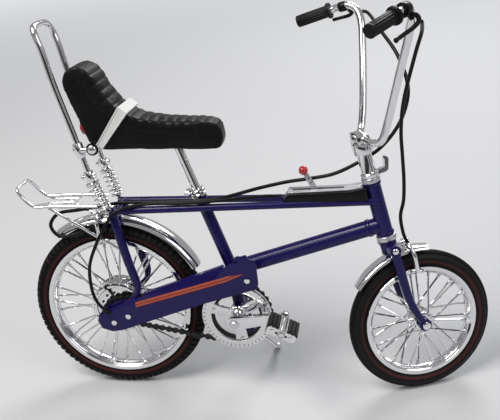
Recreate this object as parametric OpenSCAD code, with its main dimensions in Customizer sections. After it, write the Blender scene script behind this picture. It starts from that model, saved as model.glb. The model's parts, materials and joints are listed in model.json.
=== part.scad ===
/* [Wheels] */
// Outer radius of the fat rear tyre, mm
rear_tyre_radius = 21.4; // [20:0.1:23]
// Radius of the rear tyre's round section, mm
rear_tyre_section = 2.2; // [1.8:0.05:2.6]
// How far the rear tyre stands out past the rim's edge, mm
rear_tyre_height = 3.6; // [3:0.1:4.2]
// Outer radius of the small front tyre, mm
front_tyre_radius = 17; // [16:0.1:18]
// Radius of the front tyre's round section, mm
front_tyre_section = 1.9; // [1.5:0.05:2.2]
// How far the front tyre stands out past the rim's edge, mm
front_tyre_height = 3.6; // [3:0.1:4.2]
// Radius of the large rear hub flanges, mm
rear_flange_radius = 6.6; // [4:0.1:7.5]
// Radius of the front hub flanges, mm
front_flange_radius = 2.6; // [2:0.1:4]
// Crossing spokes on each side of the rear wheel
rear_spokes_side = 18; // [12:2:20]
// Crossing spokes on each side of the front wheel
front_spokes_side = 14; // [10:2:20]
// Spoke radius, mm
spoke_radius = 0.2; // [0.15:0.05:0.3]
// Radius of both wheel axles, mm
axle_radius = 0.55; // [0.4:0.05:0.8]

/* [Frame] */
// Angle of the head tube above the ground, degrees
head_angle = 77; // [68:0.5:80]
// Distance of the head axis ahead of the rear axle, 40 mm up
head_x = 64; // [60:0.5:66]
// Outer radius of the head tube, mm
head_radius = 1.8; // [1.5:0.05:2.2]
// Radius of the thick down tube, mm
down_radius = 1.85; // [1.5:0.05:2.1]
// Radius of the seat tube, mm
seat_tube_radius = 1.4; // [1.2:0.05:1.6]
// Radius of the twin top tubes, mm
rail_radius = 0.85; // [0.6:0.05:1]
// Radius of the seat stays, mm
stay_radius = 1.05; // [0.8:0.05:1.2]
// Radius of the handlebar's grips, mm
grip_radius = 1.4; // [1.2:0.05:1.7]

/* [Parked pose] */
// Lean to the left onto the side stand, degrees
lean_angle = 5.5; // [3:0.5:8]
// How far the steering has flopped to the left, degrees
steer_rest = 20.6; // [0:0.2:30]
// Tilt of both pedals, front edge down, degrees
pedal_tilt = 26; // [0:1:40]
// Angle of the right crank above straight ahead, degrees
crank_rest = 8; // [-90:1:90]

/* [Stand] */
// Radius of the side stand's leg, mm
leg_radius = 0.6; // [0.5:0.05:0.8]
// Sideways reach of the stand's foot, mm
foot_y = 13; // [11:0.5:16]

/* [Hidden] */
$fn = 48;
// running clearance of every shaft in its hole
fit = 0.05;
// the assembly's place on the ground, so that its box is centred
origin_x = -33.17;
origin_y = -6.44;
head_dir = [-cos(head_angle), 0, sin(head_angle)];
head_point = [head_x, 0, 40];
steerer_radius = 1.0;
// front axle, steering straight
front_axle = [head_x + (40 - front_tyre_radius) / tan(head_angle) + 2.5, 0, front_tyre_radius];
rear_axle = [0, 0, rear_tyre_radius];
rear_rim_radius = rear_tyre_radius - rear_tyre_height;
front_rim_radius = front_tyre_radius - front_tyre_height;
// height of each rim's top edge, where the brakes reach it
rear_rim_top = rear_axle[2] + rear_rim_radius;
front_rim_top = front_axle[2] + front_rim_radius;
crank_centre = [29.6, 0, 20.5];
crank_length = 11.9;
shell_radius = 1.9;
blade_y = 3.3;
bar_radius = 0.85;
hoop_radius = 0.72;
// crank axle, pedal spindles and the seat post
crank_axle_radius = 0.8;
spindle_radius = 0.45;
post_radius = 1.0;
seat_tube_top = [22.1, 0, 50.2];
seat_tube_foot = [28.6, 0, 30.4];
down_tube_front = [62.9, 0, 41.1];
down_tube_rear = [28.6, 0, 30.5];
// seat width: half widths at the back rest, the middle and the nose
seat_back_half = 4.4;
seat_mid_half = 4.0;
seat_nose_half = 3.1;

function unit(v) = v / norm(v);
// a vector turned by angle a about the unit axis k
function spun(v, k, a) = v * cos(a) + cross(k, v) * sin(a) + k * (k * v) * (1 - cos(a));
function steered_point(p) = head_point + spun(p - head_point, head_dir, steer_rest);
// lean first, then the small pitch that puts both tyres on the ground
function leaned(v) = [v[0], v[1] * cos(lean_angle) + v[2] * sin(lean_angle),
  v[2] * cos(lean_angle) - v[1] * sin(lean_angle)];
function pitched(v, p) = [v[0] * cos(p) + v[2] * sin(p), v[1], v[2] * cos(p) - v[0] * sin(p)];
function parked_vector(v, p) = pitched(leaned(v), p);
// lowest point of a leaning tyre below its centre
function tyre_drop(n, radius, section) = (radius - section) * sqrt(1 - n[2] * n[2]) + section;
function rear_height(p) = tyre_drop(parked_vector([0, 1, 0], p), rear_tyre_radius, rear_tyre_section);
function front_gap(p) = rear_height(p)
  + parked_vector(steered_point(front_axle) - rear_axle, p)[2]
  - tyre_drop(parked_vector(spun([0, 1, 0], head_dir, steer_rest), p), front_tyre_radius,
    front_tyre_section);
pitch_first = asin(front_gap(0) / norm(front_axle - rear_axle));
pitch = pitch_first + asin(front_gap(pitch_first) / norm(front_axle - rear_axle));
// height over the ground, in the bike's own frame, of a point that rests at height h
function floor_z(x, y, h) = rear_tyre_radius + ((h - rear_height(pitch) + x * sin(pitch)) / cos(pitch)
  + y * sin(lean_angle)) / cos(lean_angle);
function along(s) = head_point + head_dir * s;
// smooth route through hand-picked points, n steps between each two
function catmull(a, b, c, d, t) = 0.5 * (2 * b + (c - a) * t + (2 * a - 5 * b + 4 * c - d) * t * t
  + (3 * b - a - 3 * c + d) * t * t * t);
function route(p, n) = [for (i = [0 : len(p) - 2]) for (k = [0 : n - 1]) catmull(p[max(i - 1, 0)], p[i],
  p[i + 1], p[min(i + 2, len(p) - 1)], k / n), p[len(p) - 1]];
function tangent(p, i) = unit(p[min(i + 1, len(p) - 1)] - p[max(i - 1, 0)]);
function side_vectors(p, u, i) = i == len(p) ? [] : let (t = tangent(p, i),
  w = unit(u - (u * t) * t)) concat([w], side_vectors(p, w, i + 1));

// side stand, pivot and both end directions of its leg
stand_pivot = [31, 4.6, 12];
foot_radius = 0.9;
foot_point = [36, foot_y, floor_z(36, foot_y, foot_radius)];
stand_out = unit(foot_point - stand_pivot);
stand_folded = unit([-14, 1.2, 3]);
stand_axis = unit(cross(stand_out, stand_folded));
stand_sweep = acos(stand_out * stand_folded);
stand_knee = [36.4, 7.5, 5.4];
stand_pin_radius = 0.45;

function seat_tube_point(s) = seat_tube_top + unit(seat_tube_top - seat_tube_foot) * s;
// height of the console's sloping deck
function deck_z(x) = 49.9 + 0.4 * (x - 42.9) / 13.6;

// handlebar, straight ahead: left half from the clamp to the grip's end
bar_clamp = [59.3, 0, 61.3];
bar_half = [bar_clamp, [59.5, 2.4, 61.2], [60.4, 5.0, 61.0], [61.7, 6.8, 61.9], [62.7, 8.0, 66],
  [63.8, 10.2, 73], [64.8, 12.7, 80], [65.3, 14.3, 84.5], [65, 15.8, 87.2], [63.5, 17.6, 88.6],
  [61.4, 19.6, 88.2], [60.4, 20.4, 87.8], [56.9, 22.7, 86.7], [53.9, 24.7, 85.7]];
// the straight piece of bar inside the grip
grip_in = bar_half[11];
grip_out = bar_half[13];

// hoop behind the seat, right half from the collar up to the top bar
hoop_half = [[-1.2, 4.9, 56.4], [-3.9, 4.9, 67.7], [-6.3, 4.8, 77.6], [-7.5, 4.8, 84], [-8.4, 4.7, 87.2],
  [-9.1, 3.7, 89], [-9.3, 1.5, 89.4], [-9.3, 0, 89.4]];

// rear brake cable from the left lever to the rear caliper, as it hangs when parked
brake_route = [steered_point([66.2, 17.7, 86.9]), steered_point([67.6, 15.9, 86.5]), [64.3, 12.8, 81.6],
  [67.3, 8.4, 77.6], [69.3, 5.5, 72.4], [69.3, 4.6, 68], [67.3, 4.4, 62.6], [63.2, 4.2, 57.6],
  [58, 3.2, 54.6], [53, 2.4, 52.6], [47.8, 2.6, 51.6], [42.4, 2.6, 50.9], [36, 1.6, 49.9],
  [30, -1.2, 49.2], [26.5, -2.4, 48.9], [20, -2.45, 48.6], [12, -2.1, 48.4], [4, -1.7, 48.2],
  [-1, -1.9, 47.5], [-6, -2.6, 47.0], [-10.8, -3.1, 46.4], [-13, -3.6, 43.9], [-12, -3.65, 41.4],
  [-9.6, -3.6, 40.8], [-5.6, -3.4, 41.8], [-3.4, -3.45, 42.7], [-2.25, -3.5, 43.3]];

module rod(a, b, r) {
  v = b - a;
  translate(a)
    rotate([0, acos(v[2] / norm(v)), atan2(v[1], v[0])])
      cylinder(r = r, h = norm(v));
}

module taper(a, b, ra, rb) {
  v = b - a;
  translate(a)
    rotate([0, acos(v[2] / norm(v)), atan2(v[1], v[0])])
      cylinder(r1 = ra, r2 = rb, h = norm(v));
}

// one closed tube swept along a route; r is one radius or a list with one for each ring
module swept(p, r, sides, up) {
  n = len(p);
  us = side_vectors(p, up, 0);
  points = [for (i = [0 : n - 1]) for (k = [0 : sides - 1]) let (t = tangent(p, i),
    a = 360 * k / sides) p[i] + (is_list(r) ? r[i] : r) * (cos(a) * us[i] + sin(a) * cross(t, us[i]))];
  quads = [for (i = [0 : n - 2]) for (k = [0 : sides - 1]) [i * sides + k, (i + 1) * sides + k, (i
    + 1) * sides + (k + 1) % sides, i * sides + (k + 1) % sides]];
  polyhedron(
    points = points,
    faces = concat(
      [[for (k = [0 : sides - 1]) k]],
      [for (q = quads) [q[0], q[1], q[2]]],
      [for (q = quads) [q[0], q[2], q[3]]],
      [[for (k = [sides - 1 : -1 : 0]) (n - 1) * sides + k]]),
    convexity = 10);
}

// flat plate in the bike's side view, from y to y + t
module side_plate(outline, y, t) {
  translate([0, y + t, 0])
    rotate([90, 0, 0])
      linear_extrude(height = t) polygon(outline);
}

// disc or ring about a sideways axis
module side_disc(c, y, t, r) {
  translate([c[0], y + t, c[2]])
    rotate([90, 0, 0])
      cylinder(r = r, h = t);
}

module parked() {
  translate([origin_x, origin_y, rear_height(pitch)])
    rotate([-lean_angle, pitch, 0])
      translate([0, 0, -rear_tyre_radius])
        children();
}

module steered() {
  translate(head_point)
    rotate(a = steer_rest, v = head_dir)
      translate(-head_point)
        children();
}

module on_head(s) {
  translate(along(s))
    rotate([0, head_angle - 90, 0])
      children();
}

module on_crank() {
  translate(crank_centre)
    rotate([0, -crank_rest, 0])
      children();
}

module tyre(radius, section, rim, half) {
  rotate([90, 0, 0])
    rotate_extrude($fn = 96) {
      intersection() {
        translate([radius - section, 0]) circle(r = section, $fn = 40);
        translate([rim + 0.02, -4]) square([6, 8]);
      }
      translate([rim - 1, -half]) square([1.3, 2 * half]);
    }
}

// rim, spokes and hub in one: half is the rim's inner half width
module spoked_wheel(rim, half, side_count, flange, hub, hub_half, bore, cross) {
  difference() {
    union() {
      rotate([90, 0, 0])
        rotate_extrude($fn = 96) {
          translate([rim - 1.75, -half - 0.05]) square([0.75, 2 * half + 0.1]);
          for (s = [-1, 1]) translate([rim - 1.75, s * (half + 0.2) - 0.15]) square([1.75, 0.3]);
          translate([0, -hub_half]) square([hub, 2 * hub_half]);
          for (s = [-1, 1]) translate([0, s * hub_half - 0.3]) square([flange, 0.6]);
        }
      for (s = [-1, 1]) for (i = [0 : side_count - 1]) {
        a = 360 * (i + (s > 0 ? 0.5 : 0)) / side_count;
        lean = (i % 2 == 0 ? cross : -cross);
        rod([(flange - 0.3) * cos(a), s * hub_half, (flange - 0.3) * sin(a)],
          [(rim - 1.4) * cos(a + lean), s * 0.5, (rim - 1.4) * sin(a + lean)], spoke_radius, $fn = 16);
      }
    }
    rotate([90, 0, 0]) cylinder(r = bore, h = 20, center = true);
  }
}

module down_tube_shape() {
  rod(down_tube_front, down_tube_rear, down_radius);
}

module seat_tube_shape() {
  rod(seat_tube_top, seat_tube_foot, seat_tube_radius);
  taper([28.55, 0, 31.4], [29.5, 0, 20.6], 1.65, 1.4);
}

module head_tube_shape() {
  rod(along(-1.1), along(11.8), head_radius);
}

module main_frame() {
  color([0.10, 0.06, 0.38])
    parked()
      difference() {
        union() {
          head_tube_shape();
          down_tube_shape();
          seat_tube_shape();
          side_disc(crank_centre, -2.2, 4.4, shell_radius);
        }
        rod(along(-2), along(13), steerer_radius + fit);
        rod(seat_tube_point(-2), seat_tube_point(3), post_radius);
        side_disc(crank_centre, -4, 8, crank_axle_radius + fit);
      }
}

module rail_shape(s) {
  rod([1.8, s * 3.62, 46.9], [62.9, s * 1.5, 47.3], rail_radius);
}

// short tube between the rails' rear ends
module bridge_shape() {
  rod([2.9, -3.5, 46.9], [2.9, 3.5, 46.9], 0.7);
}

module top_rails() {
  color([0.10, 0.06, 0.38])
    parked()
      difference() {
        union() {
          for (s = [-1, 1]) rail_shape(s);
          rod([23.1, -3, 47.05], [23.1, 3, 47.05], 0.7);
          bridge_shape();
        }
        head_tube_shape();
        seat_tube_shape();
      }
}

// seat stay of one side: route points, each with its radius
stay_table = [[2.6, 3.75, 46.8, 1.05], [3.0, 4.3, 44.2, 1.05], [4.9, 4.5, 34.5, 1.05],
  [6.2, 4.5, 29.2, 0.98], [6.2, 4.45, 27.2, 0.74], [5.8, 4.45, 26.0, 0.7], [4.4, 4.45, 24.6, 0.7],
  [2, 4.42, 23.1, 0.7], [0.4, 4.42, 22.2, 0.7]];
chain_stay_route = [[1.5, 4.4, 22.0], [6, 4.1, 22.5], [13, 3.45, 23.4], [19, 3.2, 24.8],
  [22.5, 2.0, 26.3], [28.4, 0.9, 28.9]];

module seat_stay_shape(s) {
  points = [for (p = stay_table) [p[0], s * p[1], p[2]]];
  widths = route([for (p = stay_table) [p[3], 0, 0]], 3);
  swept(route(points, 3), [for (w = widths) w[0]], 12, [1, 0, 0]);
}

module rear_stays() {
  color([0.10, 0.06, 0.38])
    parked()
      for (s = [-1, 1])
        difference() {
          union() {
            seat_stay_shape(s);
            swept(route([for (p = chain_stay_route) [p[0], s * p[1], p[2]]], 3), 0.65, 10, [0, 0, 1]);
            side_plate([[-4.4, 20.4], [-4.3, 18.6], [-3.2, 17.4], [-1, 16.9], [1.8, 17.2], [5, 18.4],
              [6, 22.6], [3.4, 24.6], [0.6, 24.2], [-2.6, 22.6]], s > 0 ? 4.0 : -4.8, 0.8);
          }
          rail_shape(s);
          bridge_shape();
          seat_tube_shape();
          down_tube_shape();
          side_disc(rear_axle, -6, 12, axle_radius);
          side_disc(rear_axle, 4.8, 2, 1.0 + fit);
        }
}

module headset() {
  color([0.85, 0.86, 0.88])
    parked()
      difference() {
        union() {
          rod(along(-2.3), along(-1.1), 2.25);
          rod(along(11.8), along(12.9), 2.1);
        }
        rod(along(-3), along(14), steerer_radius + fit);
      }
}

module chainguard() {
  color([0.10, 0.06, 0.38])
    parked() {
      side_plate([[-3.4, 17.5], [-1, 16.7], [1.6, 17.1], [21.3, 23.9], [35.1, 28.0], [35.4, 29.2],
        [35.2, 33.7], [35.1, 35.2], [33.6, 35.4], [32.9, 36.4], [31.6, 36.0], [31.1, 34.6], [27.6, 33.2],
        [6.2, 25.6], [2.4, 24.2], [-3.4, 21.6], [-4.4, 19.6]], -5.7, 0.5);
      side_plate([[7.9, 26.2], [27.6, 33.2], [27.4, 33.7], [7.7, 26.7]], -5.7, 1.3);
      side_plate([[6.0, 18.62], [20.4, 23.59], [20.2, 24.09], [5.8, 19.1]], -5.2, 0.5);
      // lug that carries the chain's upper run
      side_disc([15, 0, 26.33], -5.2, 1.5, 0.34);
    }
}

module guard_bolts() {
  color([0.85, 0.86, 0.88])
    parked() {
      for (p = [[-0.2, 0, 19.2], [3.5, 0, 20.9], [32.9, 0, 30.2]]) {
        side_disc(p, -6.1, 0.4, 0.65);
      }
      for (p = [[-0.2, 0, 19.2], [3.5, 0, 20.9]]) {
        side_disc(p, -5.2, 0.4, 0.5);
      }
      difference() {
        rod([32.9, -5.3, 30.2], [32.4, -1.2, 31.0], 0.45);
        side_disc([32.9, 0, 30.2], -6.2, 1.0, 1.5);
        down_tube_shape();
      }
    }
}

module chain() {
  sprocket_r = 2.75;
  ring_r = 7.85;
  gap = norm([crank_centre[0], crank_centre[2] - rear_tyre_radius]);
  slope = atan2(crank_centre[2] - rear_tyre_radius, crank_centre[0]);
  wrap = asin((ring_r - sprocket_r) / gap);
  // front half round the big ring, back half round the small sprocket
  front = [for (i = [0 : 44]) let (a = slope - 90 - wrap + i * (180 + 2 * wrap) / 44) [crank_centre[0],
    crank_centre[2]] + ring_r * [cos(a), sin(a)]];
  back = [for (i = [0 : 14]) let (a = slope + 90 + wrap + i * (180 - 2 * wrap) / 14) [0,
    rear_tyre_radius] + sprocket_r * [cos(a), sin(a)]];
  upper = [for (i = [1 : 41]) front[44] + (back[0] - front[44]) * i / 42];
  lower = [for (i = [1 : 41]) back[14] + (front[0] - back[14]) * i / 42];
  loop = concat(front, upper, back, lower);
  n = len(loop);
  normals = [for (i = [0 : n - 1]) let (t = unit(loop[(i + 1) % n] - loop[(i + n - 1) % n])) [t[1], -t[0]]];
  outer = [for (i = [0 : n - 1]) loop[i] + normals[i] * (i % 2 == 0 ? 0.5 : 0.36)];
  inner = [for (i = [0 : n - 1]) loop[i] - normals[i] * (i % 2 == 0 ? 0.5 : 0.36)];
  color([0.05, 0.05, 0.06])
    parked()
      difference() {
        side_plate(outer, -3.7, 0.9);
        side_plate(inner, -3.8, 1.1);
      }
}

module rear_axle_pin() {
  color([0.80, 0.81, 0.83])
    parked() {
      rod([0, -4.9, rear_tyre_radius], [0, 4.9, rear_tyre_radius], axle_radius);
      side_disc(rear_axle, 4.8, 0.9, 1.0);
    }
}

module rear_wheel_rim() {
  color([0.86, 0.87, 0.89])
    parked()
      translate(rear_axle)
        spoked_wheel(rear_rim_radius, 1.55, rear_spokes_side, rear_flange_radius, 2.6, 2.1, axle_radius
          + fit, 9);
}

module rear_tyre() {
  color([0.05, 0.05, 0.055])
    parked()
      translate(rear_axle)
        tyre(rear_tyre_radius, rear_tyre_section, rear_rim_radius, 1.53);
}

module rear_sprocket() {
  color([0.08, 0.08, 0.09])
    parked()
      difference() {
        union() {
          side_disc(rear_axle, -3.6, 0.7, 1.9);
          side_disc(rear_axle, -3.0, 0.6, 1.6);
        }
        side_disc(rear_axle, -5, 4, axle_radius + fit);
      }
}

// seat outline from the side, and the plan it is trimmed to
seat_side = [[2.2, 61.5], [28.2, 60.2], [29.4, 60.7], [30, 62.6], [29.6, 65], [28.6, 66.3], [27, 66.7],
  [21.7, 67.2], [15.3, 67.9], [11.6, 68.6], [9, 69.7], [7.2, 71.0], [5.6, 72.7], [3.6, 75.6],
  [1.9, 78.6], [0.6, 80.1], [-1, 80.8], [-2.8, 80.6], [-4.4, 79.4], [-5.2, 77.4], [-4.9, 75.6],
  [-0.9, 63.6], [0.4, 62.1]];
seat_plan = [[-8, -seat_back_half + 0.7], [-4, -seat_back_half], [3, -seat_back_half],
  [12, -seat_mid_half], [20, -3.5], [27, -seat_nose_half], [29.2, -seat_nose_half + 0.5], [30.2, -1.4],
  [30.2, 1.4], [29.2, seat_nose_half - 0.5], [27, seat_nose_half], [20, 3.5], [12, seat_mid_half],
  [3, seat_back_half], [-4, seat_back_half], [-8, seat_back_half - 0.7]];

module seat_shape() {
  intersection() {
    side_plate(seat_side, -6, 12);
    translate([0, 0, 58]) linear_extrude(height = 26) polygon(seat_plan);
  }
}

module seat() {
  color([0.05, 0.05, 0.055])
    parked()
      seat_shape();
}

module seat_strap() {
  color([0.86, 0.86, 0.84])
    parked()
      difference() {
        side_plate([[0.0, 62.0], [2.7, 61.2], [9.7, 69.5], [9.1, 70.4], [8, 71.2], [6.8, 72.0]],
          -seat_back_half - 0.35, 2 * seat_back_half + 0.7);
        seat_shape();
      }
}

module seat_post() {
  color([0.82, 0.83, 0.85])
    parked()
      difference() {
        rod(seat_tube_point(-2), seat_tube_point(12), post_radius);
        seat_shape();
      }
}

module seat_clamp() {
  color([0.82, 0.83, 0.85])
    parked()
      difference() {
        union() {
          rod(seat_tube_point(-1.2), seat_tube_point(0.5), 1.9);
          translate([19.5, -0.8, 49.3]) cube([1.4, 1.6, 1.2]);
          rod([19.9, -1.6, 49.9], [19.9, 1.6, 49.9], 0.45);
        }
        seat_tube_shape();
        rod(seat_tube_point(-2), seat_tube_point(3), post_radius);
      }
}

module sissy_bar() {
  right = [for (p = hoop_half) [p[0], -p[1], p[2]]];
  left = [for (i = [len(hoop_half) - 2 : -1 : 0]) hoop_half[i]];
  color([0.86, 0.87, 0.89])
    parked()
      swept(route(concat(right, left), 3), hoop_radius, 12, [1, 0, 0]);
}

// ends of each suspension spring, s = -1 right, 1 left
cup_radius = 1.6;
function spring_bottom(s) = [1.35, s * 4.62, 48.0];
function spring_top(s) = [-0.75, s * 4.9, 54.5];
function spring_axis(s) = unit(spring_top(s) - spring_bottom(s));

module spring_top_cup(s) {
  rod(spring_top(s) - spring_axis(s) * 0.45, spring_top(s), cup_radius);
}

// room for the coil and its lower cup
module spring_room(s) {
  rod(spring_bottom(s) - spring_axis(s) * 0.4, spring_bottom(s) + spring_axis(s) * 2, cup_radius + fit);
}

// the hoop's straight lower leg, used to seat its clamps
module hoop_leg_shape(s) {
  rod([-1.2, s * 4.9, 56.4], [-3.9, s * 4.9, 67.7], hoop_radius);
}

module sissy_brackets() {
  color([0.82, 0.83, 0.85])
    parked()
      for (s = [-1, 1]) {
        difference() {
          union() {
            rod([-2.1, s * 4.9, 60.2], [-3.0, s * 4.9, 63.9], 1.25);
            rod([-2.6, s * 5.42, 62.0], [0.9, s * 5.42, 62.5], 0.62);
            rod([-3.7, s * 4.9, 62.2], [-3.0, s * 4.9, 62.3], 0.7);
            side_disc([0.9, 0, 62.5], s > 0 ? 4.75 : -6.25, 1.5, 1.35);
            rod([-0.75, s * 4.9, 54.5], [-1.4, s * 4.9, 57.2], 1.15);
            rod([-2.9, s * 4.9, 55.6], [0.5, s * 4.9, 56.4], 0.6);
          }
          hoop_leg_shape(s);
          seat_shape();
          spring_top_cup(s);
        }
      }
}

module springs() {
  color([0.80, 0.81, 0.83])
    parked()
      for (s = [-1, 1]) {
        bottom = spring_bottom(s);
        top = spring_top(s);
        rod(bottom, top, 0.5);
        rod(bottom, bottom + unit(top - bottom) * 0.45, cup_radius);
        spring_top_cup(s);
        difference() {
          rod(bottom + [-0.1, 0, 0.2], [2.3, s * 3.9, 46.9], 0.55);
          rail_shape(s);
          seat_stay_shape(s);
          bridge_shape();
        }
        axis = unit(top - bottom);
        u = unit(cross(axis, [0, 1, 0]));
        v = cross(axis, u);
        coil = [for (i = [0 : 70]) bottom + axis * (0.3 + i * (norm(top - bottom) - 0.6) / 70)
          + 1.35 * (cos(i * 360 / 13) * u + sin(i * 360 / 13) * v)];
        swept(coil, 0.27, 8, axis);
      }
}

module rack() {
  color([0.86, 0.87, 0.89])
    parked() {
      difference() {
        swept(route([[1.2, -3.9, 48.15], [-4, -4, 48.4], [-12, -4, 48.4], [-16.4, -4, 48.5],
          [-19.4, -3.8, 51.7], [-19.9, -2.6, 52.7], [-19.9, 0, 52.75], [-19.9, 2.6, 52.7],
          [-19.4, 3.8, 51.7], [-16.4, 4, 48.5], [-12, 4, 48.4], [-4, 4, 48.4], [1.2, 3.9, 48.15]],
          4), 0.42, 8, [0, 0, 1]);
        for (s = [-1, 1]) spring_room(s);
      }
      for (x = [-12.9, -7]) rod([x, -3.9, 48.4], [x, 3.9, 48.4], 0.34, $fn = 8);
      for (s = [-1, 1]) {
        difference() {
          rod([-13, s * 4.05, 48.3], [3.4, s * 4.75, 37.8], 0.34, $fn = 8);
          seat_stay_shape(s);
        }
        rod([-16.6, s * 3.9, 48.45], [-12.95, s * 1.4, 48.4], 0.28, $fn = 8);
        rod([-12.9, s * 1.4, 48.4], [-7, s * 1.4, 48.4], 0.28, $fn = 8);
      }
    }
}

// mudguard section: height over the tyre and place across it
rear_guard_section = [[0.7, -2.75], [1.5, -2.5], [2.1, -1.4], [2.3, 0], [2.1, 1.4], [1.5, 2.5],
  [0.7, 2.75], [0.6, 2.5], [1.3, 2.2], [1.8, 1.2], [2.0, 0], [1.8, -1.2], [1.3, -2.2], [0.6, -2.5]];

module rear_mudguard() {
  color([0.62, 0.62, 0.64])
    parked() {
      difference() {
        rod([3.1, 0, rear_axle[2] + rear_tyre_radius + 1.7], [3.1, 0, 46.9], 0.4);
        bridge_shape();
      }
      translate(rear_axle)
        rotate([90, 0, 0])
          rotate(a = 27)
            rotate_extrude(angle = 96, $fn = 96)
              polygon([for (p = rear_guard_section) [rear_tyre_radius + p[0], p[1]]]);
    }
}

module rear_caliper() {
  color([0.82, 0.83, 0.85])
    parked() {
      difference() {
        rod([2.9, 0, 47.0], [-2.4, 0, 45.5], 0.55);
        bridge_shape();
      }
      for (s = [-1, 1]) {
        swept(route([[-1.5, s * 0.3, 45.9], [-1.6, s * 2.4, 45.6], [-1.7, s * 3.5, rear_rim_top + 4.2],
          [-1.5, s * 3.25, rear_rim_top]], 4), 0.5, 8, [1, 0, 0]);
        rod([-2.7, s * 2.8, rear_rim_top + 0.1], [0.5, s * 2.8, rear_rim_top + 0.1], 0.42, $fn = 8);
      }
    }
}

module gear_console() {
  color([0.05, 0.05, 0.055])
    parked()
      difference() {
        side_plate([[41.5, 47.6], [60.6, 47.9], [60.3, 50.6], [56.5, 49.9], [42.9, 49.5]], -2.6, 5.2);
        for (s = [-1, 1]) rail_shape(s);
        head_tube_shape();
      }
}

module gear_plate() {
  color([0.78, 0.79, 0.80])
    parked()
      side_plate([[42.9, 49.5], [56.5, 49.9], [59.6, 49.9 + 3.1 * 0.7 / 3.8], [59.5, 50.85],
        [56.5, 50.3], [42.9, 49.9]], -1.9, 3.8);
}

lever_outline = [[48.2, deck_z(48.2)], [49.6, deck_z(49.6)], [47.4, 53.9], [46.4, 53.6]];

module gear_lever() {
  color([0.82, 0.83, 0.85])
    parked()
      side_plate(lever_outline, -0.35, 0.7);
}

module lever_knob() {
  color([0.75, 0.05, 0.06])
    parked()
      difference() {
        translate([46.5, 0, 54.4]) sphere(r = 1.05);
        side_plate(lever_outline, -0.35, 0.7);
      }
}

module reflector() {
  color([0.7, 0.04, 0.05])
    parked()
      difference() {
        rod([-1.5, 0, 66.05], [-4.3, 0, 65.1], 1.5);
        seat_shape();
      }
}

module gear_cable() {
  color([0.04, 0.04, 0.045])
    parked()
      swept(route([[41.5, -1.1, 48.9], [40.2, -1.1, 48.9], [37, -1.5, 49.0], [30, -2.9, 48.95],
        [24, -3.5, 48.7], [18, -3.5, 48.5], [10, -3.6, 48.4], [4, -5.6, 47.5], [1.2, -6.2, 44.2],
        [-1.6, -6.1, 39.8], [-4.2, -5.8, 34], [-4.6, -5.7, 28], [-3.6, -5.9, 24.6], [-1.6, -6.14, 22.2]],
        5), 0.42, 8, [0, 1, 0]);
}

module rear_brake_cable() {
  color([0.04, 0.04, 0.045])
    parked()
      swept(route(brake_route, 3), 0.45, 8, [0, 0, 1]);
}

module stand_bracket() {
  color([0.10, 0.06, 0.38])
    parked()
      difference() {
        union() {
          side_plate([[28.2, 19.8], [31, 19.8], [32.4, 13], [31.9, 11.2], [30.4, 10.9], [29.6, 12]],
            1.9, 0.9);
          rod(stand_pivot - stand_axis * 2.4, stand_pivot - stand_axis * 0.8, 1.0);
          rod(stand_pivot - stand_axis * 0.8, stand_pivot + stand_axis * 0.9, stand_pin_radius);
          rod(stand_pivot + stand_axis * 0.8, stand_pivot + stand_axis * 1.2, 0.8);
        }
        side_disc(crank_centre, -5, 10, shell_radius);
      }
}

module side_stand() {
  color([0.82, 0.83, 0.85])
    parked() {
      difference() {
        union() {
          rod(stand_pivot - stand_axis * 0.7, stand_pivot + stand_axis * 0.7, 1.0);
          rod(stand_pivot, stand_knee, leg_radius);
        }
        rod(stand_pivot - stand_axis, stand_pivot + stand_axis, stand_pin_radius + fit);
      }
      translate(stand_knee) sphere(r = leg_radius + 0.02);
      rod(stand_knee, foot_point, leg_radius);
      translate(foot_point) sphere(r = foot_radius);
    }
}

module chainring() {
  color([0.86, 0.87, 0.89])
    parked()
      difference() {
        union() {
          difference() {
            side_disc(crank_centre, -4.9, 0.5, 8.3);
            side_disc(crank_centre, -5.2, 1.2, 6.1);
          }
          on_crank() for (a = [0, 120, 240]) rotate([0, a + 60, 0]) translate([0, -4.9, -1.3]) cube([7,
            0.5, 2.6]);
          side_disc(crank_centre, -4.9, 1.2, 2.4);
          difference() {
            side_disc(crank_centre, -4.4, 0.5, 6.9);
            side_disc(crank_centre, -4.6, 1, 5.4);
          }
          on_crank() for (a = [0, 120, 240]) rotate([0, a + 60, 0]) translate([0, -4.5, -0.8]) cube([6,
            0.6, 1.6]);
        }
        side_disc(crank_centre, -6, 4, crank_axle_radius);
      }
}

module crank_arms() {
  color([0.86, 0.87, 0.89])
    parked()
      on_crank() {
        side_disc([0, 0, 0], -7.5, 15, crank_axle_radius);
        for (s = [-1, 1]) difference() {
          union() {
            side_disc([0, 0, 0], s > 0 ? 7.5 : -8.7, 1.2, 1.7);
            side_disc([-s * crank_length, 0, 0], s > 0 ? 7.5 : -8.7, 1.2, 1.3);
            side_plate([[0, -1.6], [-s * crank_length, -0.9], [-s * crank_length, 0.9], [0, 1.6]],
              s > 0 ? 7.5 : -8.7, 1.2);
            side_disc([0, 0, 0], s > 0 ? 2.4 : -7.6, s > 0 ? 5.2 : 2.7, 1.2);
          }
        }
        for (s = [-1, 1]) side_disc([-s * crank_length, 0, 0], s > 0 ? 8.6 : -16.4, 7.8, spindle_radius);
      }
}

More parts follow.
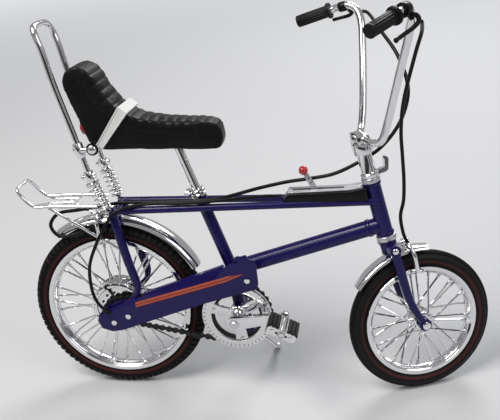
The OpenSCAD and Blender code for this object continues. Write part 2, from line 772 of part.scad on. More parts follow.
// pedal turned about its spindle, s = -1 right, 1 left
module pedal_frame(s) {
  c = crank_centre + crank_length * [-s * cos(crank_rest), 0, -s * sin(crank_rest)];
  color([0.82, 0.83, 0.85])
    parked()
      translate(c)
        rotate([0, pedal_tilt, 0])
          difference() {
            union() {
              side_disc([0, 0, 0], s > 0 ? 9.4 : -16.2, 6.8, 0.9);
              for (y = [9.4, 15.7]) side_plate([[-3.4, -0.9], [3.4, -0.9], [3.4, 0.9], [-3.4, 0.9]],
                s > 0 ? y : -y - 0.5, 0.5);
              for (x = [-2.2, 2.2]) side_disc([x, 0, 0], s > 0 ? 9.4 : -16.2, 6.8, 0.35);
            }
            side_disc([0, 0, 0], s > 0 ? 9 : -17, 8, spindle_radius + fit);
          }
}

module pedal_blocks(s) {
  c = crank_centre + crank_length * [-s * cos(crank_rest), 0, -s * sin(crank_rest)];
  color([0.05, 0.05, 0.055])
    parked()
      translate(c)
        rotate([0, pedal_tilt, 0])
          for (x = [-3.5, 1.0]) difference() {
            side_plate([[x, -1.1], [x + 2.5, -1.1], [x + 2.5, 1.1], [x, 1.1]], s > 0 ? 9.95 : -15.65, 5.7);
            side_disc([x > 0 ? 2.2 : -2.2, 0, 0], s > 0 ? 9 : -17, 8, 0.36);
          }
}

module right_pedal_frame() {
  pedal_frame(-1);
}

module right_pedal_blocks() {
  pedal_blocks(-1);
}

module left_pedal_frame() {
  pedal_frame(1);
}

module left_pedal_blocks() {
  pedal_blocks(1);
}

module crown_shape() {
  rod(along(-4.6), along(-2.4), 1.9);
  rod(along(-4.2) - [0, blade_y + 0.9, 0], along(-4.2) + [0, blade_y + 0.9, 0], 1.3);
}

// fork blade from the crown down to the axle: x, z and radius
blade_table = [[64.94, 35.9, 1.15], [65.9, 32.2, 1.12], [66.9, 28.4, 1.05], [67.8, 25.0, 0.97],
  [68.4, 23.2, 0.92], [69.3, 21.2, 0.87], [front_axle[0] - 1.51, front_axle[2] + 2.4, 0.8],
  [front_axle[0] - 0.51, front_axle[2] + 0.8, 0.75]];

module fork() {
  color([0.10, 0.06, 0.38])
    parked()
      steered()
        difference() {
          union() {
            rod(along(-4), along(16), steerer_radius);
            crown_shape();
            for (s = [-1, 1]) {
              swept([for (p = blade_table) [p[0], s * blade_y, p[1]]], [for (p = blade_table) p[2]],
                16, [1, 0, 0]);
              side_disc(front_axle, s > 0 ? blade_y - 0.5 : -blade_y - 0.5, 1.0, 1.45);
            }
          }
          side_disc(front_axle, -6, 12, axle_radius);
        }
}

module front_axle_pin() {
  color([0.82, 0.83, 0.85])
    parked()
      steered() {
        rod(front_axle - [0, blade_y + 0.5, 0], front_axle + [0, blade_y + 0.5, 0], axle_radius);
        for (s = [-1, 1]) side_disc(front_axle, s > 0 ? blade_y + 0.5 : -blade_y - 1.2, 0.7, 0.9);
      }
}

module stem() {
  color([0.86, 0.87, 0.89])
    parked()
      steered()
        difference() {
          union() {
            rod(along(13), along(14.4), 2.0);
            rod(along(14.4), along(21.4), 1.65);
            rod([bar_clamp[0], -2.1, bar_clamp[2]], [bar_clamp[0], 2.1, bar_clamp[2]], 2.0);
            rod([57.1, 0, 59.6], [57.1, 0, 63.1], 0.6);
            side_plate([[61.5, 52.7], [65.2, 53.6], [65.2, 56.9], [64.3, 56.9], [64.3, 54.3],
              [61.3, 53.6]], -0.8, 1.6);
          }
          rod(along(12), along(16), steerer_radius + 0.001);
          bar_middle_shape(bar_radius + 0.02);
        }
}

// the bar's middle, a little thicker, used to bore the stem's clamp
module bar_middle_shape(r) {
  right = [for (i = [2 : -1 : 1]) [bar_half[i][0], -bar_half[i][1], bar_half[i][2]]];
  left = [for (i = [0 : 2]) bar_half[i]];
  swept(route(concat(right, left), 2), r, 24, [1, 0, 1]);
}

module handlebar() {
  right = [for (i = [len(bar_half) - 1 : -1 : 1]) [bar_half[i][0], -bar_half[i][1], bar_half[i][2]]];
  color([0.86, 0.87, 0.89])
    parked()
      steered()
        swept(route(concat(right, bar_half), 2), bar_radius, 12, [1, 0, 1]);
}

module grips() {
  color([0.05, 0.05, 0.055])
    parked()
      steered()
        for (s = [-1, 1]) {
          a = [grip_in[0], s * grip_in[1], grip_in[2]];
          b = [grip_out[0], s * grip_out[1], grip_out[2]];
          d = unit(b - a);
          difference() {
            union() {
              rod(a + d * 0.4, b + d * 0.7, grip_radius);
              rod(a + d * 0.4, a + d * 1.1, 1.85);
            }
            rod(a, b, bar_radius + 0.02);
          }
        }
}

module brake_levers() {
  color([0.05, 0.05, 0.055])
    parked()
      steered()
        for (s = [-1, 1]) {
          difference() {
            rod([63.4, s * 17.7, 88.5], [61.9, s * 19.1, 88.3], 1.5);
            rod([65, s * 16.2, 88.8], [60.4, s * 20.5, 88.0], bar_radius + 0.15);
          }
          swept(route([[63.9, s * 18.5, 87.5], [65.6, s * 18.0, 87.2], [66.0, s * 18.6, 86.0],
            [64, s * 20, 84.7], [61, s * 21.6, 83.6], [58.6, s * 23.2, 82.9]], 3), 0.5, 8, [0, 0, 1]);
        }
}

front_guard_section = [[0.5, -2.0], [1.1, -1.75], [1.4, -1], [1.5, 0], [1.4, 1], [1.1, 1.75], [0.5, 2.0],
  [0.4, 1.85], [0.9, 1.55], [1.15, 0.9], [1.25, 0], [1.15, -0.9], [0.9, -1.55], [0.4, -1.85]];

module front_mudguard() {
  tie = [cos(110), 0, sin(110)];
  color([0.86, 0.87, 0.89])
    parked()
      steered() {
        difference() {
          rod(front_axle + tie * (front_tyre_radius + 1.2), [65.11, 0, 35.42], 0.5);
          crown_shape();
        }
        translate(front_axle)
          rotate([90, 0, 0])
            rotate(a = 84)
              rotate_extrude(angle = 62, $fn = 96)
                polygon([for (p = front_guard_section) [front_tyre_radius + p[0], p[1]]]);
      }
}

module front_caliper() {
  color([0.82, 0.83, 0.85])
    parked()
      steered() {
        difference() {
          rod([65.6, 0, 35.65], [69.4, 0, 36.5], 0.55);
          crown_shape();
        }
        for (s = [-1, 1]) {
          swept(route([[68.7, s * 0.3, 36.2], [68.9, s * 2.2, 36.0], [69.6, s * 3.3, 34],
            [70.4, s * 3.05, front_rim_top - 0.5]], 4), 0.45, 8, [1, 0, 0]);
          rod([68.9, s * 2.6, front_rim_top - 0.2], [71.9, s * 2.6, front_rim_top - 0.6], 0.42, $fn = 8);
        }
      }
}

module front_brake_cable() {
  color([0.04, 0.04, 0.045])
    parked()
      steered()
        swept(route([[66.15, -18.0, 85.95], [66.9, -16.5, 85.3], [68.2, -13, 83.4], [68, -10, 79],
          [66.9, -6.2, 69.6], [66.9, -4.2, 63], [67.6, -2.8, 57], [68.1, -2, 51.5], [68.1, -1.5, 46.7],
          [67.4, -1.2, 43], [67.9, -1.3, 39.0], [68.8, -1.6, 36.6]], 4), 0.42, 8, [0, 1, 0]);
}

module front_wheel_rim() {
  color([0.86, 0.87, 0.89])
    parked()
      steered()
        translate(front_axle)
          spoked_wheel(front_rim_radius, 1.35, front_spokes_side, front_flange_radius, 1.1, 1.9,
            axle_radius + fit, 28);
}

module front_tyre() {
  color([0.05, 0.05, 0.055])
    parked()
      steered()
        translate(front_axle)
          tyre(front_tyre_radius, front_tyre_section, front_rim_radius, 1.33);
}

main_frame();
top_rails();
rear_stays();
headset();
chainguard();
guard_bolts();
chain();
rear_axle_pin();
seat();
seat_strap();
seat_post();
seat_clamp();
sissy_bar();
sissy_brackets();
springs();
rack();
rear_mudguard();
rear_caliper();
gear_console();
gear_plate();
gear_lever();
lever_knob();
reflector();
gear_cable();
rear_brake_cable();
stand_bracket();
side_stand();
chainring();
crank_arms();
right_pedal_frame();
right_pedal_blocks();
left_pedal_frame();
left_pedal_blocks();
fork();
front_axle_pin();
stem();
handlebar();
grips();
brake_levers();
front_mudguard();
front_caliper();
front_brake_cable();
rear_wheel_rim();
rear_tyre();
rear_sprocket();
front_wheel_rim();
front_tyre();
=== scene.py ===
"""Looks of a small chopper bicycle model: finishes, fine parts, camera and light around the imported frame.

Shapes are written in the bicycle's own millimetres: x forward from the rear axle, y to the bicycle's left,
z up from the ground, upright and steering straight ahead. A station matrix turns them into the parked place.
"""

from __future__ import annotations

import json
import logging
import math
from dataclasses import dataclass, field, replace
from enum import Enum
from typing import Callable, Sequence

import bmesh
import bpy
from mathutils import Matrix, Vector
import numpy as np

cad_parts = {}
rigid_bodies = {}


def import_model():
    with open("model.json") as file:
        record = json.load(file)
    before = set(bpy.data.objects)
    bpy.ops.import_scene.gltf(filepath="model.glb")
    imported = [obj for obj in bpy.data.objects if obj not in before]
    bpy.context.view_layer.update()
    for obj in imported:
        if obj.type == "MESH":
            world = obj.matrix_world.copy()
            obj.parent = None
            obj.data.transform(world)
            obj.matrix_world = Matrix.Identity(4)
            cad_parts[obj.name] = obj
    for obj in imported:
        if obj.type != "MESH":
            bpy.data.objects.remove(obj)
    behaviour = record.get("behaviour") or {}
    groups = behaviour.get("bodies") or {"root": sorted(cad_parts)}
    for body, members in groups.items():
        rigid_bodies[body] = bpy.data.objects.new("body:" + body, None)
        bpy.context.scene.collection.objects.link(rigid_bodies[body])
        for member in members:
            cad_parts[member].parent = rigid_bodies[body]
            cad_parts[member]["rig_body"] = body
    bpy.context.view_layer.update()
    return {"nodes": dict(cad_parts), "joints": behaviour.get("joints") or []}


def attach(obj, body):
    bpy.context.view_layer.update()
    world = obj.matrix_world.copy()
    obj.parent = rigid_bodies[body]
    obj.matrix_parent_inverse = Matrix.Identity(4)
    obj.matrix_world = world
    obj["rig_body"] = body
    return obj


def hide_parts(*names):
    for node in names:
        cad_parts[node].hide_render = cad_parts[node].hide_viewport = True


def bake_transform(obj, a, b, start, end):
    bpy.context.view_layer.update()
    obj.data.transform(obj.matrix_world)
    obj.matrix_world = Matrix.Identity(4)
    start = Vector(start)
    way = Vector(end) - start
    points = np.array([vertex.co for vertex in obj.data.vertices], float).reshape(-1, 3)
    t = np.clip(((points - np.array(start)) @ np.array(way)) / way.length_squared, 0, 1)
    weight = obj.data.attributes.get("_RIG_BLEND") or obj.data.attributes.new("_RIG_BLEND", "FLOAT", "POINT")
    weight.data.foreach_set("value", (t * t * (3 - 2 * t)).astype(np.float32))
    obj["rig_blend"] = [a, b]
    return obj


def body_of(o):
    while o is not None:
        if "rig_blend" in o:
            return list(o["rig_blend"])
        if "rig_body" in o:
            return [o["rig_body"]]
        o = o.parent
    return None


LOG = logging.getLogger("chopper")
DUST_COLOUR = (0.55, 0.54, 0.52)
MM = 0.001
NODE_MERGE = 2e-6
SHAPE_MERGE = 2e-7
Point = tuple[float, float, float]
Flat = tuple[float, float]

REAR_AXLE: Point = (0.0, 0.0, 21.4)
FRONT_AXLE: Point = (71.81, 0.0, 17.0)

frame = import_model()


class Body(Enum):
    """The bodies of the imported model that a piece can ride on."""

    FRAME = "frame"
    CRANKS = "cranks"
    RIGHT_PEDAL = "right_pedal"
    LEFT_PEDAL = "left_pedal"
    REAR_WHEEL = "rear_wheel"
    STAND = "stand"
    STEERING = "steering"
    FRONT_WHEEL = "front_wheel"


@dataclass(frozen=True)
class ParkedPose:
    """How the bicycle stands: its lean, its small pitch and the turn of its steering."""

    lean_deg: float = 5.5
    pitch_deg: float = 0.024
    steer_deg: float = 20.6
    head_angle_deg: float = 77.0
    head_point: Point = (64.0, 0.0, 40.0)
    rear_axle: Point = REAR_AXLE

    def head_direction(self) -> Vector:
        """Gives the unit vector up the steering axis."""
        angle = math.radians(self.head_angle_deg)
        return Vector((-math.cos(angle), 0.0, math.sin(angle)))

    def upright_to_row(self) -> Matrix:
        """Gives the matrix from the bicycle's millimetres to the row frame in metres."""
        axle = next(j for j in frame["joints"] if j["name"] == "rear_wheel_spin")["pos_m"]
        pitch = Matrix.Rotation(math.radians(self.pitch_deg), 4, "Y")
        lean = Matrix.Rotation(math.radians(-self.lean_deg), 4, "X")
        scale = Matrix.Scale(MM, 4)
        return Matrix.Translation(axle) @ pitch @ lean @ scale @ Matrix.Translation(-Vector(self.rear_axle))

    def steering_to_row(self) -> Matrix:
        """Gives the matrix for what turns with the fork, from its straight-ahead millimetres."""
        head = Vector(self.head_point)
        turn = Matrix.Rotation(math.radians(self.steer_deg), 4, self.head_direction())
        return self.upright_to_row() @ Matrix.Translation(head) @ turn @ Matrix.Translation(-head)


POSE = ParkedPose()
UPRIGHT = POSE.upright_to_row()
STEERED = POSE.steering_to_row()


def along_head(distance: float) -> Vector:
    """Gives the point on the steering axis that lies distance above the head point."""
    return Vector(POSE.head_point) + POSE.head_direction() * distance


# Shapes.
@dataclass
class Shape:
    """Points and faces in millimetres, before they are placed.

    Attributes:
        points: Vertex places.
        faces: Vertex numbers of each face.
    """

    points: list[Vector] = field(default_factory=list)
    faces: list[tuple[int, ...]] = field(default_factory=list)

    def __add__(self, other: "Shape") -> "Shape":
        """Puts two shapes into one."""
        shift = len(self.points)
        moved = [tuple(i + shift for i in face) for face in other.faces]
        return Shape(self.points + other.points, self.faces + moved)

    def moved(self, matrix: Matrix) -> "Shape":
        """Gives a copy that the matrix has moved."""
        return Shape([matrix @ p for p in self.points], list(self.faces))

    def mirrored_y(self) -> "Shape":
        """Gives the copy on the bicycle's other side, with its faces turned to point outwards."""
        points = [Vector((p.x, -p.y, p.z)) for p in self.points]
        return Shape(points, [tuple(reversed(face)) for face in self.faces])

    def both_sides(self) -> "Shape":
        """Gives the shape and its mirror image across the bicycle's middle plane."""
        return self + self.mirrored_y()


def smooth_route(points: Sequence[Point], steps: int) -> list[Vector]:
    """Runs a smooth curve through given points.

    Args:
        points: The chosen points.
        steps: Pieces between each two of them.

    Returns:
        The points of the curve, both ends included.
    """
    p = [Vector(q) for q in points]
    out: list[Vector] = []
    for i in range(len(p) - 1):
        a, b, c, d = p[max(i - 1, 0)], p[i], p[i + 1], p[min(i + 2, len(p) - 1)]
        for k in range(steps):
            t = k / steps
            bend = (2 * a - 5 * b + 4 * c - d) * t * t + (3 * b - a - 3 * c + d) * t**3
            out.append(0.5 * (2 * b + (c - a) * t + bend))
    out.append(p[-1])
    return out


def tube(
    path: Sequence[Vector],
    radius: float | Callable[[float], float],
    sides: int = 20,
    closed: bool = False,
) -> Shape:
    """Sweeps a round section along a path.

    Args:
        path: Points of the path.
        radius: The section's radius, or a function of the share of the path.
        sides: Points around the section.
        closed: Whether the path's end joins its start.

    Returns:
        A closed shape.
    """
    n = len(path)
    width = radius if callable(radius) else (lambda share: radius)
    tangents = []
    for i in range(n):
        ahead = path[(i + 1) % n] if closed else path[min(i + 1, n - 1)]
        behind = path[i - 1] if closed or i else path[0]
        tangents.append((ahead - behind).normalized())
    side = tangents[0].orthogonal().normalized()
    points: list[Vector] = []
    for i, tangent in enumerate(tangents):
        side = (side - tangent * side.dot(tangent)).normalized()
        other = tangent.cross(side)
        r = width(i / (n - 1))
        for k in range(sides):
            a = 2 * math.pi * k / sides
            points.append(path[i] + side * (r * math.cos(a)) + other * (r * math.sin(a)))
    faces: list[tuple[int, ...]] = []
    for i in range(n if closed else n - 1):
        j = (i + 1) % n
        for k in range(sides):
            m = (k + 1) % sides
            faces.append((i * sides + k, i * sides + m, j * sides + m, j * sides + k))
    if not closed:
        faces.append(tuple(range(sides - 1, -1, -1)))
        faces.append(tuple((n - 1) * sides + k for k in range(sides)))
    return Shape(points, faces)


def rod(a: Sequence[float], b: Sequence[float], radius: float, sides: int = 24, edge: float = 0.0) -> Shape:
    """Makes a straight round bar, with softened ends where edge is given.

    Args:
        a: One end.
        b: Other end.
        radius: Bar radius.
        sides: Points around it.
        edge: Radius of the softened rim at each end.

    Returns:
        The bar.
    """
    start, stop = Vector(a), Vector(b)
    length = (stop - start).length
    if edge <= 0:
        return tube([start, stop], radius, sides)
    profile = [(0.0, 0.0), (radius - edge, 0.0), (radius - edge * 0.3, edge * 0.3), (radius, edge)]
    profile += [(r, length - h) for r, h in reversed(profile)]
    return turned(profile, start, stop - start, sides)


def turned(
    profile: Sequence[Flat],
    centre: Sequence[float],
    axis: Sequence[float],
    segments: int = 48,
    closed: bool = False,
    arc: tuple[float, float] | None = None,
) -> Shape:
    """Turns a profile of (radius, height) pairs about an axis, like a lathe.

    Args:
        profile: Radius and height of each point; a radius of 0 makes a closed pole.
        centre: A point on the axis where the height is 0.
        axis: Direction of growing height.
        segments: Steps around.
        closed: Whether the profile's end joins its start, as in a ring.
        arc: First and last angle in degrees for a part turn, or None for a whole one.

    Returns:
        The turned shape, with flat ends where it is a part turn.
    """
    direction = Vector(axis).normalized()
    if abs(direction.y) > 0.999:
        first = Vector((1.0, 0.0, 0.0))
    else:
        first = direction.orthogonal().normalized()
    second = direction.cross(first)
    base = Vector(centre)
    whole = arc is None
    start, stop = (0.0, 360.0) if whole else arc
    rings = segments if whole else segments + 1
    points: list[Vector] = []
    index: list[list[int]] = []
    for k in range(rings):
        a = math.radians(start + (stop - start) * k / segments)
        spoke = first * math.cos(a) + second * math.sin(a)
        row: list[int] = []
        for i, (r, h) in enumerate(profile):
            if whole and r < 1e-9 and k:
                row.append(index[0][i])
                continue
            row.append(len(points))
            points.append(base + spoke * r + direction * h)
        index.append(row)
    m = len(profile)
    faces: list[tuple[int, ...]] = []
    for k in range(segments):
        here, there = index[k], index[(k + 1) % rings]
        for i in range(m if closed else m - 1):
            j = (i + 1) % m
            loop = [here[i], there[i], there[j], here[j]]
            unique = tuple(dict.fromkeys(loop))
            if len(unique) > 2:
                faces.append(unique)
    if not whole and closed:
        faces.append(tuple(index[0]))
        faces.append(tuple(reversed(index[-1])))
    return Shape(points, faces)


def dome(centre: Sequence[float], axis: Sequence[float], radius: float, height: float, skirt: float = 0.15) -> Shape:
    """Makes a domed bolt head that stands on centre and points along axis."""
    profile = [(0.0, -skirt), (radius, -skirt), (radius, skirt * 0.6)]
    for k in range(1, 7):
        a = math.pi / 2 * k / 6
        profile.append((radius * math.cos(a), skirt * 0.6 + (height - skirt) * math.sin(a)))
    profile[-1] = (0.0, profile[-1][1])
    return turned(profile, centre, axis, 24)


def hex_head(centre: Sequence[float], axis: Sequence[float], across: float, height: float) -> Shape:
    """Makes a six-sided nut or bolt head with a chamfered top."""
    r = across / math.sqrt(3)
    profile = [(0.0, 0.0), (r, 0.0), (r, height * 0.75), (r * 0.82, height), (0.0, height)]
    return turned(profile, centre, axis, 6)


def slab(outline: Sequence[Flat], y0: float, y1: float) -> Shape:
    """Makes a flat plate from an outline in the side view.

    Args:
        outline: x and z of its corners, in either direction.
        y0: Its right face.
        y1: Its left face.

    Returns:
        The plate.
    """
    area = sum(a[0] * b[1] - b[0] * a[1] for a, b in zip(outline, list(outline[1:]) + [outline[0]]))
    loop = list(outline) if area > 0 else list(reversed(outline))
    n = len(loop)
    points = [Vector((x, y0, z)) for x, z in loop] + [Vector((x, y1, z)) for x, z in loop]
    faces: list[tuple[int, ...]] = [tuple(range(n)), tuple(range(2 * n - 1, n - 1, -1))]
    for i in range(n):
        j = (i + 1) % n
        faces.append((i, i + n, j + n, j))
    return Shape(points, faces)


def arc_points(cx: float, cz: float, radius: float, start: float, stop: float, steps: int) -> list[Flat]:
    """Gives the points of an arc in the side view, its angles in degrees from forward to up."""
    angles = [math.radians(start + (stop - start) * k / steps) for k in range(steps + 1)]
    return [(cx + radius * math.cos(a), cz + radius * math.sin(a)) for a in angles]


# Shader groups.
class NodeSheet:
    """A small helper that adds and links nodes of one tree."""

    def __init__(self, tree: bpy.types.NodeTree) -> None:
        """Keeps the tree that the nodes go into."""
        self.tree = tree

    def add(self, kind: str, **settings: object) -> bpy.types.Node:
        """Adds a node.

        Args:
            kind: The node's type name.
            settings: Attributes, or i_NAME for the value of an input socket by its place or name.

        Returns:
            The new node.
        """
        node = self.tree.nodes.new(kind)
        for key, value in settings.items():
            if key.startswith("i_"):
                tail = key[2:]
                socket = node.inputs[int(tail)] if tail.isdigit() else node.inputs[tail.replace("_", " ")]
                socket.default_value = value
            else:
                setattr(node, key, value)
        return node

    def link(self, source: bpy.types.NodeSocket, target: bpy.types.NodeSocket) -> None:
        """Joins an output to an input."""
        self.tree.links.new(source, target)

    def math(self, operation: str, a: object, b: object = 0.0, clamp: bool = False) -> bpy.types.NodeSocket:
        """Adds a Math node whose inputs are sockets or numbers, and gives its output."""
        node = self.tree.nodes.new("ShaderNodeMath")
        node.operation = operation
        node.use_clamp = clamp
        for slot, value in zip(node.inputs, (a, b)):
            if isinstance(value, (int, float)):
                slot.default_value = value
            else:
                self.link(value, slot)
        return node.outputs[0]

    def mix(self, share: object, a: object, b: object) -> bpy.types.NodeSocket:
        """Adds a colour Mix node whose inputs are sockets or values, and gives its output."""
        node = self.tree.nodes.new("ShaderNodeMix")
        node.data_type = "RGBA"
        for slot, value in ((node.inputs[0], share), (node.inputs[6], a), (node.inputs[7], b)):
            if isinstance(value, bpy.types.NodeSocket):
                self.link(value, slot)
            elif isinstance(value, (int, float)):
                slot.default_value = value
            else:
                slot.default_value = (*value, 1.0)
        return node.outputs[2]

    def band(self, value: bpy.types.NodeSocket, low: float, high: float, soft: float) -> bpy.types.NodeSocket:
        """Gives a mask that is 1 where value lies between low and high, with soft edges."""
        rise = self.add("ShaderNodeMapRange", i_1=low - soft, i_2=low + soft, interpolation_type="SMOOTHSTEP")
        fall = self.add("ShaderNodeMapRange", i_1=high - soft, i_2=high + soft, interpolation_type="SMOOTHSTEP")
        self.link(value, rise.inputs[0])
        self.link(value, fall.inputs[0])
        return self.math("SUBTRACT", rise.outputs[0], fall.outputs[0], clamp=True)


class SharedGroups:
    """Shader node groups that several finishes place with their own values."""

    @staticmethod
    def _start(name: str, inputs: dict[str, float], outputs: Sequence[str]) -> tuple:
        """Starts a group with float sockets.

        Args:
            name: The group's name.
            inputs: Its input sockets with their usual values.
            outputs: Its output sockets.

        Returns:
            The tree, its sheet, its input and output nodes, and the object coordinates in it.
        """
        tree = bpy.data.node_groups.new(name, "ShaderNodeTree")
        for label, value in inputs.items():
            socket = tree.interface.new_socket(label, in_out="INPUT", socket_type="NodeSocketFloat")
            socket.default_value = value
        for label in outputs:
            tree.interface.new_socket(label, in_out="OUTPUT", socket_type="NodeSocketFloat")
        sheet = NodeSheet(tree)
        where = sheet.add("ShaderNodeTexCoord").outputs["Object"]
        return tree, sheet, sheet.add("NodeGroupInput").outputs, sheet.add("NodeGroupOutput").inputs, where

    @classmethod
    def grain(cls) -> bpy.types.NodeTree:
        """Gives the group for fine grain: a height for bump and a slow mottle for colour and roughness."""
        known = bpy.data.node_groups.get("SurfaceGrain")
        if known:
            return known
        values = {"Grain Scale": 9000.0, "Mottle Scale": 300.0, "Detail": 3.0}
        tree, sheet, source, sink, where = cls._start("SurfaceGrain", values, ("Height", "Mottle"))
        fine, slow = sheet.add("ShaderNodeTexNoise"), sheet.add("ShaderNodeTexNoise")
        sheet.link(source["Detail"], fine.inputs["Detail"])
        for noise, scale, target in ((fine, "Grain Scale", "Height"), (slow, "Mottle Scale", "Mottle")):
            sheet.link(where, noise.inputs["Vector"])
            sheet.link(source[scale], noise.inputs["Scale"])
            sheet.link(noise.outputs[0], sink[target])
        return tree

    @classmethod
    def _mask(cls, name: str, amount: float, scale_name: str, scale: float, detail: float) -> tuple:
        """Starts a group whose mask is broken up by noise.

        Args:
            name: The group's name.
            amount: Usual strength.
            scale_name: Label of the noise's scale.
            scale: Its usual value.
            detail: Detail of the noise.

        Returns:
            Its sheet, and a function that ends the group from its mask.
        """
        tree, sheet, source, sink, where = cls._start(name, {"Amount": amount, scale_name: scale}, ("Mask",))
        noise = sheet.add("ShaderNodeTexNoise", i_Detail=detail)
        sheet.link(where, noise.inputs["Vector"])
        sheet.link(source[scale_name], noise.inputs["Scale"])

        def end(mask: bpy.types.NodeSocket) -> bpy.types.NodeTree:
            """Breaks the mask up, scales it and gives the finished tree."""
            broken = sheet.math("MULTIPLY", mask, noise.outputs[0])
            sheet.link(sheet.math("MULTIPLY", broken, source["Amount"]), sink["Mask"])
            return tree

        return sheet, end

    @classmethod
    def dust(cls) -> bpy.types.NodeTree:
        """Gives the group for a thin film of dust: a mask that is strongest on faces that look up."""
        known = bpy.data.node_groups.get("DustFilm")
        if known:
            return known
        sheet, end = cls._mask("DustFilm", 0.05, "Patch Scale", 500.0, 4.0)
        split = sheet.add("ShaderNodeSeparateXYZ")
        sheet.link(sheet.add("ShaderNodeNewGeometry").outputs["Normal"], split.inputs[0])
        return end(sheet.math("MAXIMUM", split.outputs["Z"], 0.0))

    @classmethod
    def edge_wear(cls) -> bpy.types.NodeTree:
        """Gives the group for rubbed edges: a mask of convex edges broken up by noise."""
        known = bpy.data.node_groups.get("EdgeWear")
        if known:
            return known
        sheet, end = cls._mask("EdgeWear", 0.4, "Break Up Scale", 2500.0, 3.0)
        edge = sheet.add("ShaderNodeMapRange", i_1=0.53, i_2=0.62)
        sheet.link(sheet.add("ShaderNodeNewGeometry").outputs["Pointiness"], edge.inputs[0])
        return end(edge.outputs[0])


@dataclass(frozen=True)
class Finish:
    """A surface finish, made into one procedural material.

    Attributes:
        name: Material name.
        slot: The record's material slot; not used.
        colour: Linear base colour.
        metallic: 1 for bare metal.
        roughness: Middle roughness.
        spread: How far the roughness wanders.
        mottle: Strength of slow colour variation.
        coat: Weight of the clear coat.
        grain: Height of the fine grain, in metres.
        grain_scale: Size of the fine grain, per metre.
        wear: Strength of rubbed edges.
        wear_colour: Colour that shows on rubbed edges.
        dust: Strength of the dust film.
        specular: Strength of the surface reflection of a non-metal.
        pattern: Function that paints on the base colour from the local millimetres, or None.
    """

    name: str
    slot: str
    colour: Point
    metallic: float = 0.0
    roughness: float = 0.4
    spread: float = 0.06
    mottle: float = 0.06
    coat: float = 0.0
    grain: float = 0.0
    grain_scale: float = 9000.0
    wear: float = 0.0
    wear_colour: Point = (0.3, 0.3, 0.32)
    dust: float = 0.03
    specular: float = 0.5
    pattern: Callable[[NodeSheet, bpy.types.NodeSocket, bpy.types.NodeSocket], bpy.types.NodeSocket] | None = None

    def material(self) -> bpy.types.Material:
        """Gives the finish's material, built the first time it is asked for."""
        known = bpy.data.materials.get(self.name)
        if known:
            return known
        made = bpy.data.materials.new(self.name)
        made.use_nodes = True
        made.node_tree.nodes.clear()
        sheet = NodeSheet(made.node_tree)
        out = sheet.add("ShaderNodeOutputMaterial")
        skin = sheet.add("ShaderNodeBsdfPrincipled")
        skin.inputs["Metallic"].default_value = self.metallic
        skin.inputs["Specular IOR Level"].default_value = self.specular
        if self.coat:
            skin.inputs["Coat Weight"].default_value = self.coat
            skin.inputs["Coat Roughness"].default_value = 0.04
        sheet.link(skin.outputs[0], out.inputs[0])
        grain = sheet.add("ShaderNodeGroup", node_tree=SharedGroups.grain())
        grain.inputs["Grain Scale"].default_value = self.grain_scale
        local = sheet.add("ShaderNodeAttribute", attribute_name="local_mm")
        dark = tuple(c * (1 - self.mottle) for c in self.colour)
        light = tuple(min(1.0, c * (1 + self.mottle)) for c in self.colour)
        colour = sheet.mix(grain.outputs["Mottle"], dark, light)
        if self.pattern:
            colour = self.pattern(sheet, local.outputs["Vector"], colour)
        if self.wear:
            worn = sheet.add("ShaderNodeGroup", node_tree=SharedGroups.edge_wear())
            worn.inputs["Amount"].default_value = self.wear
            colour = sheet.mix(worn.outputs["Mask"], colour, self.wear_colour)
        if self.dust:
            film = sheet.add("ShaderNodeGroup", node_tree=SharedGroups.dust())
            film.inputs["Amount"].default_value = self.dust
            colour = sheet.mix(film.outputs["Mask"], colour, DUST_COLOUR)
        sheet.link(colour, skin.inputs["Base Color"])
        rough = sheet.add("ShaderNodeMapRange", i_3=self.roughness - self.spread, i_4=self.roughness + self.spread)
        sheet.link(grain.outputs["Mottle"], rough.inputs[0])
        sheet.link(rough.outputs[0], skin.inputs["Roughness"])
        if self.grain:
            height = sheet.math("MULTIPLY", grain.outputs["Height"], self.grain)
            bump = sheet.add("ShaderNodeBump", i_Distance=1.0, i_Strength=1.0)
            sheet.link(height, bump.inputs["Height"])
            sheet.link(bump.outputs[0], skin.inputs["Normal"])
        return made


# Placing.
def show(
    name: str,
    shape: Shape,
    body: Body,
    finish: Finish,
    station: Matrix = UPRIGHT,
    sharp_deg: float = 38.0,
    replaces: Sequence[str] = (),
    local: Matrix | None = None,
    ride: bool = True,
    bevel_mm: float = 0.0,
) -> bpy.types.Object:
    """Makes a shape into a finished piece on one body.

    Args:
        name: Object name.
        shape: Closed shape in millimetres.
        body: Body it rides on.
        finish: Its surface.
        station: Matrix from the shape's millimetres to the row frame.
        sharp_deg: Edges that turn more than this stay sharp.
        replaces: CAD nodes it stands for.
        local: Matrix that turns the shape's points into its pattern's millimetres.
        ride: Whether it is set on the body here.
        bevel_mm: Width of softened edges, 0 for none.

    Returns:
        The new object, at the origin, with its place in its mesh.
    """
    obj = new_object(name, [station @ p for p in shape.points], shape.faces)
    keep_local(obj, [(local @ p) if local else p for p in shape.points])
    polish(obj, sharp_deg, merge=SHAPE_MERGE)
    if bevel_mm:
        soften_edges(obj, bevel_mm, sharp_deg)
    obj.data.materials.append(finish.material())
    return declare(obj, body.value, replaces, ride)


def new_object(name: str, points: Sequence[Vector], faces: Sequence[Sequence[int]]) -> bpy.types.Object:
    """Makes a mesh object in the scene from its points and faces."""
    mesh = bpy.data.meshes.new(name)
    mesh.from_pydata(points, [], faces)
    obj = bpy.data.objects.new(name, mesh)
    bpy.context.scene.collection.objects.link(obj)
    return obj


def keep_local(obj: bpy.types.Object, places: Sequence[Vector]) -> None:
    """Keeps each vertex's own millimetres in the attribute that the patterns read."""
    attribute = obj.data.attributes.new("local_mm", "FLOAT_VECTOR", "POINT")
    for item, place in zip(attribute.data, places):
        item.vector = place


